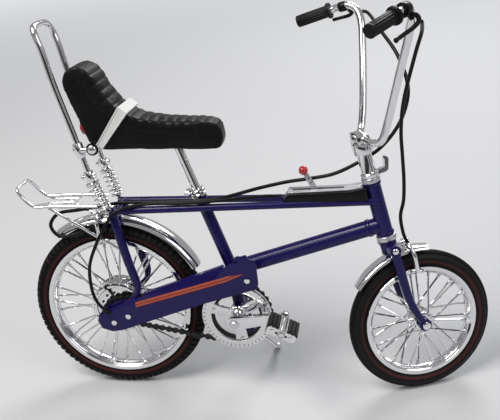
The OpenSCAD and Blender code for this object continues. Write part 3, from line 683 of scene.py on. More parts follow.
def declare(
    obj: bpy.types.Object, body: str, replaces: Sequence[str] = (), ride: bool = True
) -> bpy.types.Object:
    """Tells the frame what a finished piece is.

    Args:
        obj: The piece.
        body: Body it rides on.
        replaces: CAD nodes it stands for.
        ride: Whether it is set on the body here.

    Returns:
        The piece.
    """
    if ride:
        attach(obj, body)
    if replaces:
        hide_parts(*replaces)
    LOG.info("%s: %d faces on %s", obj.name, len(obj.data.polygons), body)
    return obj


def polish(obj: bpy.types.Object, sharp_deg: float, merge: float = 0.0) -> None:
    """Turns the faces outwards and sets smooth shading with sharp edges over a given angle."""
    work = bmesh.new()
    work.from_mesh(obj.data)
    if merge:
        bmesh.ops.remove_doubles(work, verts=work.verts, dist=merge)
    bmesh.ops.recalc_face_normals(work, faces=work.faces)
    limit = math.radians(sharp_deg)
    for face in work.faces:
        face.smooth = True
    for edge in work.edges:
        edge.smooth = len(edge.link_faces) == 2 and edge.calc_face_angle(0.0) < limit
    work.to_mesh(obj.data)
    work.free()


def soften_edges(obj: bpy.types.Object, width_mm: float, sharp_deg: float) -> None:
    """Bevels the edges that turn more than sharp_deg, and shades the result smooth."""
    soften = obj.modifiers.new("Bevel", "BEVEL")
    soften.width = width_mm * MM
    soften.segments = 2
    soften.limit_method = "ANGLE"
    soften.angle_limit = math.radians(sharp_deg)
    soften.use_clamp_overlap = True
    bake(obj)
    polish(obj, 60.0)


def bake(obj: bpy.types.Object) -> None:
    """Puts the result of the live modifiers into the mesh and takes them off."""
    bpy.context.view_layer.update()
    made = bpy.data.meshes.new_from_object(obj.evaluated_get(bpy.context.evaluated_depsgraph_get()))
    old = obj.data
    obj.modifiers.clear()
    obj.data = made
    if old.users == 0:
        bpy.data.meshes.remove(old)


def copy_of(node: str, name: str) -> bpy.types.Object:
    """Gives a free copy of a CAD node, with its place in its mesh and no material."""
    source = frame["nodes"][node]
    obj = source.copy()
    obj.data = source.data.copy()
    obj.name = name
    obj.parent = None
    obj.matrix_world = Matrix.Identity(4)
    for key in [k for k in obj.keys() if k.startswith("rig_")]:
        del obj[key]
    bpy.context.scene.collection.objects.link(obj)
    obj.data.transform(source.matrix_world)
    obj.data.materials.clear()
    return obj


def reskin(
    node: str,
    finish: Finish,
    station: Matrix = UPRIGHT,
    sharp_deg: float = 38.0,
    bevel_mm: float = 0.0,
) -> bpy.types.Object:
    """Gives a CAD node its finish through a merged copy with smooth shading.

    Args:
        node: The CAD node.
        finish: Its surface.
        station: Matrix whose inverse gives the pattern's millimetres.
        sharp_deg: Edges that turn more than this stay sharp.
        bevel_mm: Width of softened edges, 0 for none.

    Returns:
        The copy, which stands for the node.
    """
    obj = copy_of(node, f"{node}_skin")
    back = station.inverted()
    polish(obj, sharp_deg, merge=NODE_MERGE)
    if bevel_mm:
        soften_edges(obj, bevel_mm, sharp_deg)
    keep_local(obj, [back @ vertex.co for vertex in obj.data.vertices])
    obj.data.materials.append(finish.material())
    return declare(obj, body_of(frame["nodes"][node])[0], (node,))


# Geometry nodes.
class RepeatTrees:
    """Geometry Nodes trees that lay out repeated parts."""

    @staticmethod
    def _start(name: str, numbers: dict[str, str]) -> tuple:
        """Starts a tree that puts a unit on points, realizes it and sets its material.

        Args:
            name: The tree's name.
            numbers: Its own input sockets, each with Int or Float.

        Returns:
            The tree, its sheet, the outputs of its input node, and the node that makes the copies.
        """
        tree = bpy.data.node_groups.new(name, "GeometryNodeTree")
        sockets = {"Geometry": "Geometry", "Unit": "Object", **numbers, "Material": "Material"}
        for label, kind in sockets.items():
            tree.interface.new_socket(label, in_out="INPUT", socket_type=f"NodeSocket{kind}")
        tree.interface.new_socket("Geometry", in_out="OUTPUT", socket_type="NodeSocketGeometry")
        sheet = NodeSheet(tree)
        source = sheet.add("NodeGroupInput").outputs
        unit = sheet.add("GeometryNodeObjectInfo")
        copies = sheet.add("GeometryNodeInstanceOnPoints")
        real = sheet.add("GeometryNodeRealizeInstances")
        paint = sheet.add("GeometryNodeSetMaterial")
        sheet.link(source["Unit"], unit.inputs["Object"])
        sheet.link(unit.outputs["Geometry"], copies.inputs["Instance"])
        sheet.link(copies.outputs[0], real.inputs[0])
        sheet.link(real.outputs[0], paint.inputs["Geometry"])
        sheet.link(source["Material"], paint.inputs["Material"])
        sheet.link(paint.outputs[0], sheet.add("NodeGroupOutput").inputs[0])
        return tree, sheet, source, copies

    @classmethod
    def ring(cls) -> bpy.types.NodeTree:
        """Gives the tree that repeats a unit about the Y axis through the origin."""
        known = bpy.data.node_groups.get("RingArray")
        if known:
            return known
        numbers = {"Count": "Int", "Step": "Float", "Start": "Float", "Wobble": "Float", "Seed": "Int"}
        tree, sheet, source, copies = cls._start("RingArray", numbers)
        line = sheet.add("GeometryNodeMeshLine", mode="OFFSET", i_Offset=(0.0, 0.0, 0.0))
        index = sheet.add("GeometryNodeInputIndex")
        spread = sheet.add("FunctionNodeRandomValue", data_type="FLOAT")
        angle = sheet.add("ShaderNodeCombineXYZ")
        sheet.link(source["Count"], line.inputs["Count"])
        sheet.link(line.outputs[0], copies.inputs["Points"])
        limits = [s for s in spread.inputs if s.type == "VALUE" and s.name in ("Min", "Max")]
        sheet.link(sheet.math("MULTIPLY", source["Wobble"], -1.0), limits[0])
        sheet.link(source["Wobble"], limits[1])
        sheet.link(source["Seed"], spread.inputs["Seed"])
        turn = sheet.math("ADD", sheet.math("MULTIPLY", index.outputs[0], source["Step"]), source["Start"])
        turn = sheet.math("ADD", turn, next(s for s in spread.outputs if s.type == "VALUE"))
        sheet.link(turn, angle.inputs["Y"])
        sheet.link(angle.outputs[0], copies.inputs["Rotation"])
        return tree

    @classmethod
    def path(cls) -> bpy.types.NodeTree:
        """Gives the tree that sets a unit on every point of the carrier, turned by the carrier's own attributes."""
        known = bpy.data.node_groups.get("PathArray")
        if known:
            return known
        tree, sheet, source, copies = cls._start("PathArray", {"Scale": "Float"})
        turn = sheet.add("GeometryNodeInputNamedAttribute", data_type="FLOAT_VECTOR", i_Name="turn")
        sheet.link(source["Geometry"], copies.inputs["Points"])
        sheet.link(next(s for s in turn.outputs if s.type == "VECTOR"), copies.inputs["Rotation"])
        sheet.link(source["Scale"], copies.inputs["Scale"])
        return tree


@dataclass
class Repeat:
    """One repeated part of a body, laid out by a Geometry Nodes tree and then made plain mesh.

    Attributes:
        name: Object name.
        unit: The repeated shape, in millimetres.
        body: Body it rides on.
        finish: Its surface.
        station: Matrix from the layout's millimetres to the row frame.
        sharp_deg: Edges that turn more than this stay sharp.
        replaces: CAD nodes it stands for.
    """

    name: str
    unit: Shape
    body: Body
    finish: Finish
    station: Matrix = UPRIGHT
    sharp_deg: float = 38.0
    replaces: Sequence[str] = ()

    def _unit_object(self) -> bpy.types.Object:
        """Makes the hidden unit that the tree copies."""
        obj = new_object(f"{self.name}_unit", self.unit.points, self.unit.faces)
        polish(obj, self.sharp_deg)
        return obj

    def _finish(
        self, carrier: bpy.types.Object, tree: bpy.types.NodeTree, values: dict[str, object]
    ) -> bpy.types.Object:
        """Runs the tree, keeps its mesh, and places it.

        Args:
            carrier: Object that carries the tree.
            tree: The layout tree.
            values: Its inputs by name.

        Returns:
            The finished piece.
        """
        unit = self._unit_object()
        layout = carrier.modifiers.new("Layout", "NODES")
        layout.node_group = tree
        values = {**values, "Unit": unit, "Material": self.finish.material()}
        for item in tree.interface.items_tree:
            if item.item_type == "SOCKET" and item.in_out == "INPUT" and item.name in values:
                layout[item.identifier] = values[item.name]
        bake(carrier)
        bpy.data.objects.remove(unit)
        keep_local(carrier, [vertex.co for vertex in carrier.data.vertices])
        carrier.data.transform(self.station)
        polish(carrier, self.sharp_deg)
        return declare(carrier, self.body.value, self.replaces)

    def around(self, count: int, start_deg: float = 0.0, wobble_deg: float = 0.0, seed: int = 1) -> bpy.types.Object:
        """Repeats the unit about the Y axis through the layout's origin.

        Args:
            count: Number of copies in the full turn.
            start_deg: Angle of the first one.
            wobble_deg: Largest chance turn of each.
            seed: Seed of that chance.

        Returns:
            The finished piece.
        """
        carrier = new_object(self.name, [], [])
        values = {
            "Count": count,
            "Step": 2 * math.pi / count,
            "Start": math.radians(start_deg),
            "Wobble": math.radians(wobble_deg),
            "Seed": seed,
        }
        return self._finish(carrier, RepeatTrees.ring(), values)

    def at(self, stations: Sequence[Matrix]) -> bpy.types.Object:
        """Puts a copy of the unit at every given place.

        Args:
            stations: Turn and place of each copy in millimetres.

        Returns:
            The finished piece.
        """
        carrier = new_object(self.name, [m.to_translation() for m in stations], [])
        turn = carrier.data.attributes.new("turn", "FLOAT_VECTOR", "POINT")
        for item, matrix in zip(turn.data, stations):
            item.vector = matrix.to_euler("XYZ")
        return self._finish(carrier, RepeatTrees.path(), {"Scale": 1.0})


# Patterns.
STRIPE_SLOPE = 0.295
STRIPE_ENDS = (5.6, 32.6)
TAPER_START = 27.8
TAPER_SLOPE = 0.155
GUARD_FACE = -5.6
STRIPES: tuple[tuple[float, float, Point], ...] = (
    (21.45, 22.95, (0.05, 0.006, 0.01)), (22.3, 22.85, (0.46, 0.085, 0.03)), (21.6, 22.1, (0.42, 0.075, 0.03)),
)


def guard_stripes(sheet: NodeSheet, local: bpy.types.NodeSocket, colour: bpy.types.NodeSocket) -> bpy.types.NodeSocket:
    """Paints the chainguard's two orange stripes with dark red between and around them."""
    split = sheet.add("ShaderNodeSeparateXYZ")
    sheet.link(local, split.inputs[0])
    x, z = split.outputs["X"], split.outputs["Z"]
    height = sheet.math("SUBTRACT", z, sheet.math("MULTIPLY", x, STRIPE_SLOPE))
    past = sheet.math("MAXIMUM", sheet.math("SUBTRACT", x, TAPER_START), 0.0)
    taper = sheet.math("MULTIPLY", past, TAPER_SLOPE)
    height = sheet.math("SUBTRACT", height, taper)
    outside = sheet.math("LESS_THAN", split.outputs["Y"], GUARD_FACE)
    ends = sheet.math("MULTIPLY", sheet.band(x, *STRIPE_ENDS, 0.05), outside)
    below = sheet.math("ADD", height, sheet.math("MULTIPLY", taper, 2.0))
    reach = sheet.math("MULTIPLY", ends, sheet.math("LESS_THAN", below, STRIPES[0][1]))
    for low, high, paint in STRIPES:
        mask = sheet.math("MULTIPLY", sheet.band(height, low, high, 0.04), reach)
        colour = sheet.mix(mask, colour, paint)
    return colour


def sidewall_line(centre: Point, radius: float) -> Callable:
    """Makes the pattern of a thin dark red line around a tyre's sidewall.

    Args:
        centre: The axle in the tyre's millimetres.
        radius: Radius of the line.

    Returns:
        A pattern function.
    """

    def paint(sheet: NodeSheet, local: bpy.types.NodeSocket, colour: bpy.types.NodeSocket) -> bpy.types.NodeSocket:
        """Paints the line from the distance to the axle."""
        split = sheet.add("ShaderNodeSeparateXYZ")
        sheet.link(local, split.inputs[0])
        x = sheet.math("SUBTRACT", split.outputs["X"], centre[0])
        z = sheet.math("SUBTRACT", split.outputs["Z"], centre[2])
        sum_of_squares = sheet.math("ADD", sheet.math("MULTIPLY", x, x), sheet.math("MULTIPLY", z, z))
        distance = sheet.math("SQRT", sum_of_squares)
        line = sheet.band(distance, radius - 0.3, radius + 0.3, 0.08)
        return sheet.mix(sheet.math("MULTIPLY", line, 0.8), colour, (0.06, 0.01, 0.01))

    return paint


class Finishes:
    """The finishes of the model."""

    INDIGO = Finish("IndigoPaint", "indigo_paint", (0.0062, 0.0022, 0.066), roughness=0.27, spread=0.05, coat=0.16,
                    specular=0.22, grain=4e-7, grain_scale=3000.0, wear=0.12, wear_colour=(0.05, 0.04, 0.2), dust=0.006)
    STRIPED = replace(INDIGO, name="StripedIndigoPaint", wear=0.1, pattern=guard_stripes)
    CHROME = Finish("Chrome", "chrome", (0.78, 0.78, 0.79), metallic=1.0, roughness=0.085, spread=0.04,
                    mottle=0.05, grain=5e-7, grain_scale=1800.0, wear=0.15, wear_colour=(0.95, 0.95, 0.96), dust=0.01)
    SATIN = Finish("SatinSilver", "chrome", (0.62, 0.62, 0.64), metallic=1.0, roughness=0.34, spread=0.08,
                   mottle=0.08, grain=1.2e-6, grain_scale=5000.0, wear=0.2, wear_colour=(0.85, 0.85, 0.86), dust=0.02)
    # Dark steel for the chain, sprocket and toothed ring. The same finish also colours dark discs and a strip that are
    # painted shade in place of holes and a slot.
    DARK_STEEL_AND_SHADE = Finish("DarkSteel", "dark_steel", (0.010, 0.010, 0.011), metallic=0.35, specular=0.4, roughness=0.42,
                    spread=0.1, mottle=0.15, grain=1.5e-6, grain_scale=6000.0, wear=0.12,
                    wear_colour=(0.12, 0.12, 0.13), dust=0.015)
    BRUSHED = Finish("BrushedPlate", "brushed_plate", (0.55, 0.56, 0.58), metallic=0.9, roughness=0.36, spread=0.1,
                     mottle=0.08, grain=1.5e-6, grain_scale=9000.0, dust=0.02)
    REAR_RUBBER = Finish("RearTyreRubber", "tyre_rubber", (0.0045, 0.0036, 0.004), specular=0.16, roughness=0.6,
                         spread=0.12, mottle=0.25, grain=3e-6, grain_scale=7000.0, wear=0.15,
                         wear_colour=(0.03, 0.028, 0.027), dust=0.01, pattern=sidewall_line(REAR_AXLE, 18.7))
    FRONT_RUBBER = replace(REAR_RUBBER, name="FrontTyreRubber", specular=0.2, roughness=0.5,
                           pattern=sidewall_line(FRONT_AXLE, 14.45))
    RUBBER = Finish("MouldedRubber", "black_rubber", (0.0042, 0.0042, 0.0048), specular=0.18, roughness=0.42,
                    spread=0.12, mottle=0.2, grain=2e-6, grain_scale=8000.0, wear=0.15,
                    wear_colour=(0.035, 0.035, 0.035), dust=0.008)
    VINYL = Finish("SeatVinyl", "seat_vinyl", (0.0042, 0.004, 0.005), specular=0.16, roughness=0.4, spread=0.1,
                   mottle=0.2, grain=7e-6, grain_scale=5200.0, wear=0.1, wear_colour=(0.03, 0.03, 0.032), dust=0.006)
    STRAP = Finish("StrapVinyl", "strap_white", (0.66, 0.66, 0.64), roughness=0.5, spread=0.08, mottle=0.07,
                   grain=3e-6, grain_scale=6000.0, dust=0.03)
    RED = Finish("RedPlastic", "red_plastic", (0.42, 0.008, 0.014), roughness=0.2, spread=0.06, coat=0.5, mottle=0.1,
                 grain=4e-7, grain_scale=3000.0, dust=0.01)
    CABLE = Finish("CableSheath", "cable_black", (0.0045, 0.0045, 0.0055), specular=0.18, roughness=0.34,
                   spread=0.08, mottle=0.2, grain=1e-6, grain_scale=5000.0, dust=0.006)
    PLASTIC = Finish("BlackPlastic", "black_plastic", (0.0042, 0.0042, 0.0052), specular=0.18, roughness=0.3,
                     spread=0.1, mottle=0.15, grain=1.5e-6, grain_scale=6000.0, wear=0.1,
                     wear_colour=(0.035, 0.035, 0.037), dust=0.006)


# Sub-assemblies.
@dataclass
class WheelSizes:
    """Sizes of one wheel, in millimetres.

    Attributes:
        name: Short name used for its pieces.
        axle: Centre of the wheel.
        tyre_radius: Outer radius of the tyre.
        section: Radius of the tyre's round section.
        rim: Outer radius of the rim.
        half: Half width of the rim's floor.
        flange: Radius of the hub flanges.
        hub: Radius of the hub's middle.
        hub_half: Half the distance between the flanges.
        spokes: Spokes on each side.
        cross_deg: How far each spoke leans.
    """

    name: str
    axle: Point
    tyre_radius: float
    section: float
    rim: float
    half: float
    flange: float
    hub: float
    hub_half: float
    spokes: int
    cross_deg: float


class Wheel:
    """A wheel with a chromed rim, crossed spokes with nipples, a hub whose holes are dark discs of painted shade, and a
    rubber tyre.
    """

    def __init__(self, sizes: WheelSizes, body: Body, rubber: Finish, upright: Matrix) -> None:
        """Keeps the sizes and works out the station whose origin is the axle."""
        self.sizes = sizes
        self.body = body
        self.rubber = rubber
        self.station = upright @ Matrix.Translation(sizes.axle)
        self.to_bike = Matrix.Translation(sizes.axle)

    def build(self) -> None:
        """Makes every piece of the wheel."""
        self._rim()
        self._spokes()
        self._hub()
        self._tyre()

    def _rim(self) -> None:
        """Makes the rim with rolled edges and an inner step."""
        s = self.sizes
        w = s.half
        half = [
            (s.rim - 1.72, 0.0), (s.rim - 1.7, 0.5 * w), (s.rim - 1.5, 0.62 * w), (s.rim - 1.42, 0.85 * w),
            (s.rim - 1.22, w + 0.12), (s.rim - 0.98, w + 0.2), (s.rim - 0.9, w + 0.31), (s.rim - 0.3, w + 0.34),
            (s.rim - 0.06, w + 0.33), (s.rim, w + 0.25),
            (s.rim - 0.05, w + 0.1), (s.rim - 0.25, w + 0.06), (s.rim - 0.95, w + 0.03), (s.rim - 1.0, w - 0.1),
        ]
        profile = half + [(r, -h) for r, h in reversed(half[1:])]
        ring = turned(profile, (0, 0, 0), (0, 1, 0), 128, closed=True)
        show(f"{s.name}_rim", ring, self.body, Finishes.CHROME, self.station, 50.0,
             replaces=(f"{s.name}_wheel_rim",))

    def _spokes(self) -> None:
        """Makes the crossed spokes and their nipples."""
        s = self.sizes
        step = math.radians(360 / s.spokes)
        cross = math.radians(s.cross_deg)
        spokes, nipples = Shape(), Shape()
        for side in (-1, 1):
            for k, lean in ((0, cross), (1, -cross)):
                a = (k + (0.5 if side > 0 else 0.0)) * step
                inner = Vector(((s.flange - 0.3) * math.cos(a), side * s.hub_half, (s.flange - 0.3) * math.sin(a)))
                b = a + lean
                outer = Vector(((s.rim - 1.6) * math.cos(b), side * 0.45, (s.rim - 1.6) * math.sin(b)))
                way = (inner - outer).normalized()
                spokes += rod(inner, outer, 0.24, 8)
                nipples += rod(outer + way * 0.1, outer + way * 1.15, 0.33, 10, edge=0.08)
                nipples += dome(inner + Vector((0, side * 0.28, 0)), (0, side, 0), 0.3, 0.22, 0.05)
        count = s.spokes // 2
        Repeat(f"{s.name}_spokes", spokes, self.body, Finishes.CHROME, self.station).around(count)
        Repeat(f"{s.name}_nipples", nipples, self.body, Finishes.SATIN, self.station).around(count)

    def _hub(self) -> None:
        """Makes the hub shell with two flanges, and dark discs on the flanges that are painted shade where their holes
        would be.
        """
        s = self.sizes
        f, h, r = s.flange, s.hub_half, s.hub
        dish = min(0.35, 0.12 * f)
        half = [
            (r, 0.0), (r, h - 0.8), (r + 0.25, h - 0.42), (f - 0.25, h - 0.3), (f, h - 0.2), (f, h + 0.2),
            (f - 0.15, h + 0.3), (f - 1.2, h + 0.3), (f - 1.35, h + 0.3 - dish * 0.5), (r * 0.9, h + 0.3 - dish),
            (r * 0.62, h + 0.28), (r * 0.55, h + 0.3), (0.62, h + 0.3),
        ]
        profile = half + [(x, -y) for x, y in reversed(half[1:])]
        shell = turned(profile, (0, 0, 0), (0, 1, 0), 64, closed=True)
        show(f"{s.name}_hub", shell, self.body, Finishes.CHROME, self.station, 40.0)
        # Painted shade: dark discs on each flange stand in for its holes, which are not cut.
        holes = Shape()
        count = 12 if f > 4 else 7
        for side in (-1, 1):
            y = side * (h + 0.3)
            for k in (0, 1):
                if f > 4 or k == 0:
                    radius = f - (0.62 if k == 0 else 2.6)
                    turn = Matrix.Rotation(math.pi / count * k, 4, "Y")
                    disc = rod((radius, y - side * 0.12, 0), (radius, y + side * 0.015, 0), 0.17 + 0.1 * k, 12)
                    holes += disc.moved(turn)
        Repeat(f"{s.name}_hub_holes", holes, self.body, Finishes.DARK_STEEL_AND_SHADE, self.station).around(count, 7.0)

    def _section_point(self, angle_deg: float, radius: float) -> Flat:
        """Gives radius and side place of a point of the tyre's round section, 0 degrees at the crown."""
        s = self.sizes
        a = math.radians(angle_deg)
        return (s.tyre_radius - s.section + radius * math.cos(a), radius * math.sin(a))

    def _tyre(self) -> None:
        """Makes the tyre's body with its seat in the rim and lines on the sidewall."""
        s = self.sizes
        depth = 0.3 if s.section > 2 else 0.22
        base = s.section - depth
        right: list[Flat] = []
        for angle in range(0, 131, 5):
            radius = base
            if s.section <= 2 and angle <= 45:
                radius += depth * (0.0 if angle in (10, 25, 40) else 1.0)
            elif angle in (75, 100):
                radius += 0.06
            right.append(self._section_point(angle, radius))
        floor = s.rim - 0.98
        right = [p for p in right if p[0] > s.rim - 0.2 or p[1] <= s.half]
        right = [p for p in right if p[0] > floor]
        right += [(floor, s.half - 0.04)]
        profile = right + [(r, -h) for r, h in reversed(right)]
        profile = list(dict.fromkeys((round(r, 4), round(h, 4)) for r, h in profile))
        ring = turned(profile, (0, 0, 0), (0, 1, 0), 144, closed=True)
        show(f"{s.name}_tyre_body", ring, self.body, self.rubber, self.station, 50.0,
             replaces=(f"{s.name}_tyre",), local=self.to_bike)


class RearTread:
    """Blocks of the rear tyre's tread."""

    def __init__(self, wheel: Wheel) -> None:
        """Keeps the wheel that carries the tread."""
        self.wheel = wheel

    def _block(self, first: float, last: float, from_deg: float, to_deg: float, rise: float) -> Shape:
        """Makes a block that bends over the section from one angle to another.

        Args:
            first: Section angle where it starts.
            last: Section angle where it ends.
            from_deg: Place around the wheel where it starts.
            to_deg: Place around the wheel where it ends.
            rise: Height over the tyre's body.

        Returns:
            The block.
        """
        base = self.wheel.sizes.section - 0.36
        top = self.wheel.sizes.section - 0.28 + rise
        steps = 3
        points: list[Vector] = []
        for place, inset in ((from_deg, 0.0), (to_deg, 0.0)):
            a = math.radians(place)
            for radius in (base, top):
                for k in range(steps + 1):
                    r, h = self.wheel._section_point(first + (last - first) * k / steps, radius)
                    points.append(Vector((r * math.cos(a), h, r * math.sin(a))))
        n = steps + 1
        faces: list[tuple[int, ...]] = []
        for k in range(steps):
            faces.append((n + k, n + k + 1, 3 * n + k + 1, 3 * n + k))
            faces.append((k, 2 * n + k, 2 * n + k + 1, k + 1))
            faces.append((k, k + 1, n + k + 1, n + k))
            faces.append((2 * n + k, 3 * n + k, 3 * n + k + 1, 2 * n + k + 1))
        faces.append((0, n, 3 * n, 2 * n))
        faces.append((n - 1, 3 * n - 1, 4 * n - 1, 2 * n - 1))
        return Shape(points, faces)

    def build(self) -> None:
        """Makes the ring of blocks: shoulder knobs and small middle ribs."""
        count = 84
        pitch = 360 / count
        unit = Shape()
        for side in (-1, 1):
            shift = 0.0 if side < 0 else pitch / 2
            unit += self._block(side * 30, side * 72, shift, shift + pitch * 0.58, 0.3)
            for k in (0.1, 0.6):
                place = shift + pitch * k
                unit += self._block(side * 4, side * 22, place, place + pitch * 0.3, 0.24)
        Repeat("rear_tread", unit, Body.REAR_WHEEL, Finishes.REAR_RUBBER, self.wheel.station, 25.0).around(count)


@dataclass
class DriveSizes:
    """Sizes of the cranks, chain and chainring, in millimetres."""

    centre: Point = (29.6, 0.0, 20.5)
    rear: Point = REAR_AXLE
    ring_radius: float = 7.85
    sprocket_radius: float = 2.75
    crank_length: float = 11.9
    rest_deg: float = 8.0
    tilt_deg: float = 26.0
    links: int = 58


class DriveTrain:
    """Chain, chainring, cranks and both pedals."""

    def __init__(self, sizes: DriveSizes) -> None:
        """Keeps the sizes and works out the cranks' station."""
        self.sizes = sizes
        turn = Matrix.Rotation(math.radians(-sizes.rest_deg), 4, "Y")
        self.crank_station = UPRIGHT @ Matrix.Translation(sizes.centre) @ turn

    def build(self) -> None:
        """Makes every piece of the drive."""
        self._chain()
        self._ring()
        reskin("crank_arms", Finishes.CHROME, bevel_mm=0.12)
        reskin("rear_sprocket", Finishes.DARK_STEEL_AND_SHADE)
        self._crank_bolts()
        for side, body in ((-1, Body.RIGHT_PEDAL), (1, Body.LEFT_PEDAL)):
            self._pedal(side, body)

    def _loop(self) -> tuple[list[Flat], list[float]]:
        """Gives the chain's pitch line as evenly spaced points with their directions."""
        s = self.sizes
        dx, dz = s.centre[0] - s.rear[0], s.centre[2] - s.rear[2]
        gap = math.hypot(dx, dz)
        slope = math.degrees(math.atan2(dz, dx))
        wrap = math.degrees(math.asin((s.ring_radius - s.sprocket_radius) / gap))
        front = arc_points(s.centre[0], s.centre[2], s.ring_radius, slope - 90 - wrap, slope + 90 + wrap, 60)
        back = arc_points(0.0, s.rear[2], s.sprocket_radius, slope + 90 + wrap, slope + 270 - wrap, 24)
        loop = front + back
        lengths = [0.0]
        for a, b in zip(loop, loop[1:] + loop[:1]):
            lengths.append(lengths[-1] + math.dist(a, b))
        total = lengths[-1]
        points: list[Flat] = []
        angles: list[float] = []
        at = 0
        for k in range(s.links):
            goal = total * k / s.links
            while lengths[at + 1] < goal:
                at += 1
            a, b = loop[at], loop[(at + 1) % len(loop)]
            share = (goal - lengths[at]) / (lengths[at + 1] - lengths[at])
            points.append((a[0] + (b[0] - a[0]) * share, a[1] + (b[1] - a[1]) * share))
        for k, point in enumerate(points):
            ahead = points[(k + 1) % s.links]
            angles.append(math.atan2(ahead[1] - point[1], ahead[0] - point[0]))
        return points, angles

    def _chain(self) -> None:
        """Makes the chain from outer and inner links with rollers and pins."""
        points, angles = self._loop()
        pitch = math.dist(points[0], points[1])
        waist = [(x, z) for x, z in arc_points(0, 0, 0.62, 60, 300, 8)]
        far = [(pitch + x, z) for x, z in arc_points(0, 0, 0.6, -120, 120, 8)]
        middle = [(pitch / 2, 0.24)]
        outline = waist + [(pitch / 2, -0.24)] + far + middle
        outer = slab(outline, -3.68, -3.52) + slab(outline, -2.98, -2.82)
        inner = slab(outline, -3.5, -3.38) + slab(outline, -3.12, -3.0)
        pins = rod((0, -3.7, 0), (0, -2.8, 0), 0.17, 8) + rod((pitch, -3.7, 0), (pitch, -2.8, 0), 0.17, 8)
        rollers = rod((0, -3.5, 0), (0, -3.0, 0), 0.4, 10) + rod((pitch, -3.5, 0), (pitch, -3.0, 0), 0.4, 10)
        places = [
            Matrix.Translation((x, 0.0, z)) @ Matrix.Rotation(-angle, 4, "Y")
            for (x, z), angle in zip(points, angles)
        ]
        Repeat("chain_outer_links", outer + pins, Body.FRAME, Finishes.DARK_STEEL_AND_SHADE, replaces=("chain",)).at(places[::2])
        Repeat("chain_inner_links", inner + rollers, Body.FRAME, Finishes.DARK_STEEL_AND_SHADE).at(places[1::2])

    def _ring(self) -> None:
        """Makes the chainring: a bright band with fine marks, three arms, a hub and a darker toothed ring."""
        axis = (0, 1, 0)
        band = turned(
            [(6.1, -4.86), (6.2, -4.92), (8.2, -4.92), (8.3, -4.86), (8.3, -4.46), (8.24, -4.4), (6.15, -4.4),
             (6.1, -4.46)],
            (0, 0, 0), axis, 128, closed=True)
        band += turned([(6.45, -4.95), (6.75, -4.95), (6.75, -4.9), (6.45, -4.9)], (0, 0, 0), axis, 96, True)
        hub = turned([(0.82, -4.92), (1.9, -4.95), (2.3, -4.9), (2.4, -4.8), (2.4, -3.75), (0.82, -3.7)],
                     (0, 0, 0), axis, 48, closed=True)
        arms = Shape()
        for k in range(3):
            turn = Matrix.Rotation(math.radians(60 + 120 * k), 4, "Y")
            arm = slab([(-1.35, 1.2), (1.35, 1.2), (1.2, 3.4), (1.55, 6.3), (-1.55, 6.3), (-1.2, 3.4)], -4.88, -4.42)
            arms += arm.moved(turn)
        show("chainring_band", band + hub + arms, Body.CRANKS, Finishes.CHROME, self.crank_station, 35.0,
             replaces=("chainring",), bevel_mm=0.12)
        toothed = turned([(5.4, -4.34), (6.95, -4.34), (6.95, -3.92), (5.4, -3.92)], (0, 0, 0), axis, 96, True)
        show("chainring_inner", toothed, Body.CRANKS, Finishes.DARK_STEEL_AND_SHADE, self.crank_station, 35.0)
        mark = slab([(7.55, -0.07), (8.1, -0.07), (8.1, 0.07), (7.55, 0.07)], -4.95, -4.88)
        Repeat("chainring_marks", mark, Body.CRANKS, Finishes.DARK_STEEL_AND_SHADE, self.crank_station).around(48)
        rivet = dome((5.75, -4.88, 0), (0, -1, 0), 0.42, 0.3)
        Repeat("chainring_rivets", rivet, Body.CRANKS, Finishes.SATIN, self.crank_station).around(3, -30.0)
        tooth = slab([(6.6, -0.16), (7.15, -0.1), (7.15, 0.1), (6.6, 0.16)], -4.2, -4.0)
        Repeat("chainring_teeth", tooth, Body.CRANKS, Finishes.DARK_STEEL_AND_SHADE, self.crank_station).around(40)

    def _crank_bolts(self) -> None:
        """Makes the crank ends' nuts and washers."""
        s = self.sizes
        parts = Shape()
        for side in (-1, 1):
            y = side * 8.68
            parts += turned([(0.0, 0.0), (1.25, 0.0), (1.2, 0.12), (0.0, 0.16)], (0, y, 0), (0, side, 0), 32)
            parts += hex_head((0, y + side * 0.1, 0), (0, side, 0), 1.35, 0.42)
        show("crank_nuts", parts, Body.CRANKS, Finishes.SATIN, self.crank_station, 30.0)

    def _pedal(self, side: int, body: Body) -> None:
        """Makes a pedal with two grooved rubber blocks between chromed end plates."""
        s = self.sizes
        rest = math.radians(s.rest_deg)
        centre = Vector(s.centre) + Vector((-side * math.cos(rest), 0, -side * math.sin(rest))) * s.crank_length
        station = UPRIGHT @ Matrix.Translation(centre) @ Matrix.Rotation(math.radians(s.tilt_deg), 4, "Y")
        name = body.value
        inner, outer = side * 9.4, side * 16.2
        metal = turned([(0.52, 0.0), (0.9, 0.0), (0.9, 6.8), (0.52, 6.8)], (0, inner, 0), (0, side, 0), 32, True)
        plate = [(-3.4, -0.55), (-3.05, -0.9), (3.05, -0.9), (3.4, -0.55), (3.4, 0.55), (3.05, 0.9), (-3.05, 0.9),
                 (-3.4, 0.55)]
        for y in (9.4, 15.7):
            low, high = sorted((side * y, side * (y + 0.5)))
            metal += slab(plate, low, high)
        for x in (-2.2, 2.2):
            metal += rod((x, inner, 0), (x, outer + side * 0.0, 0), 0.34, 16)
            metal += hex_head((x, outer - side * 0.02, 0), (0, side, 0), 0.9, 0.2)
        for x in (-0.82, 0.82):
            for z in (-0.92, 0.92):
                metal += rod((x, side * 9.6, z), (x, side * 15.9, z), 0.16, 10)
        show(f"{name}_metal", metal, body, Finishes.CHROME, station, 30.0, replaces=(f"{name}_frame",))
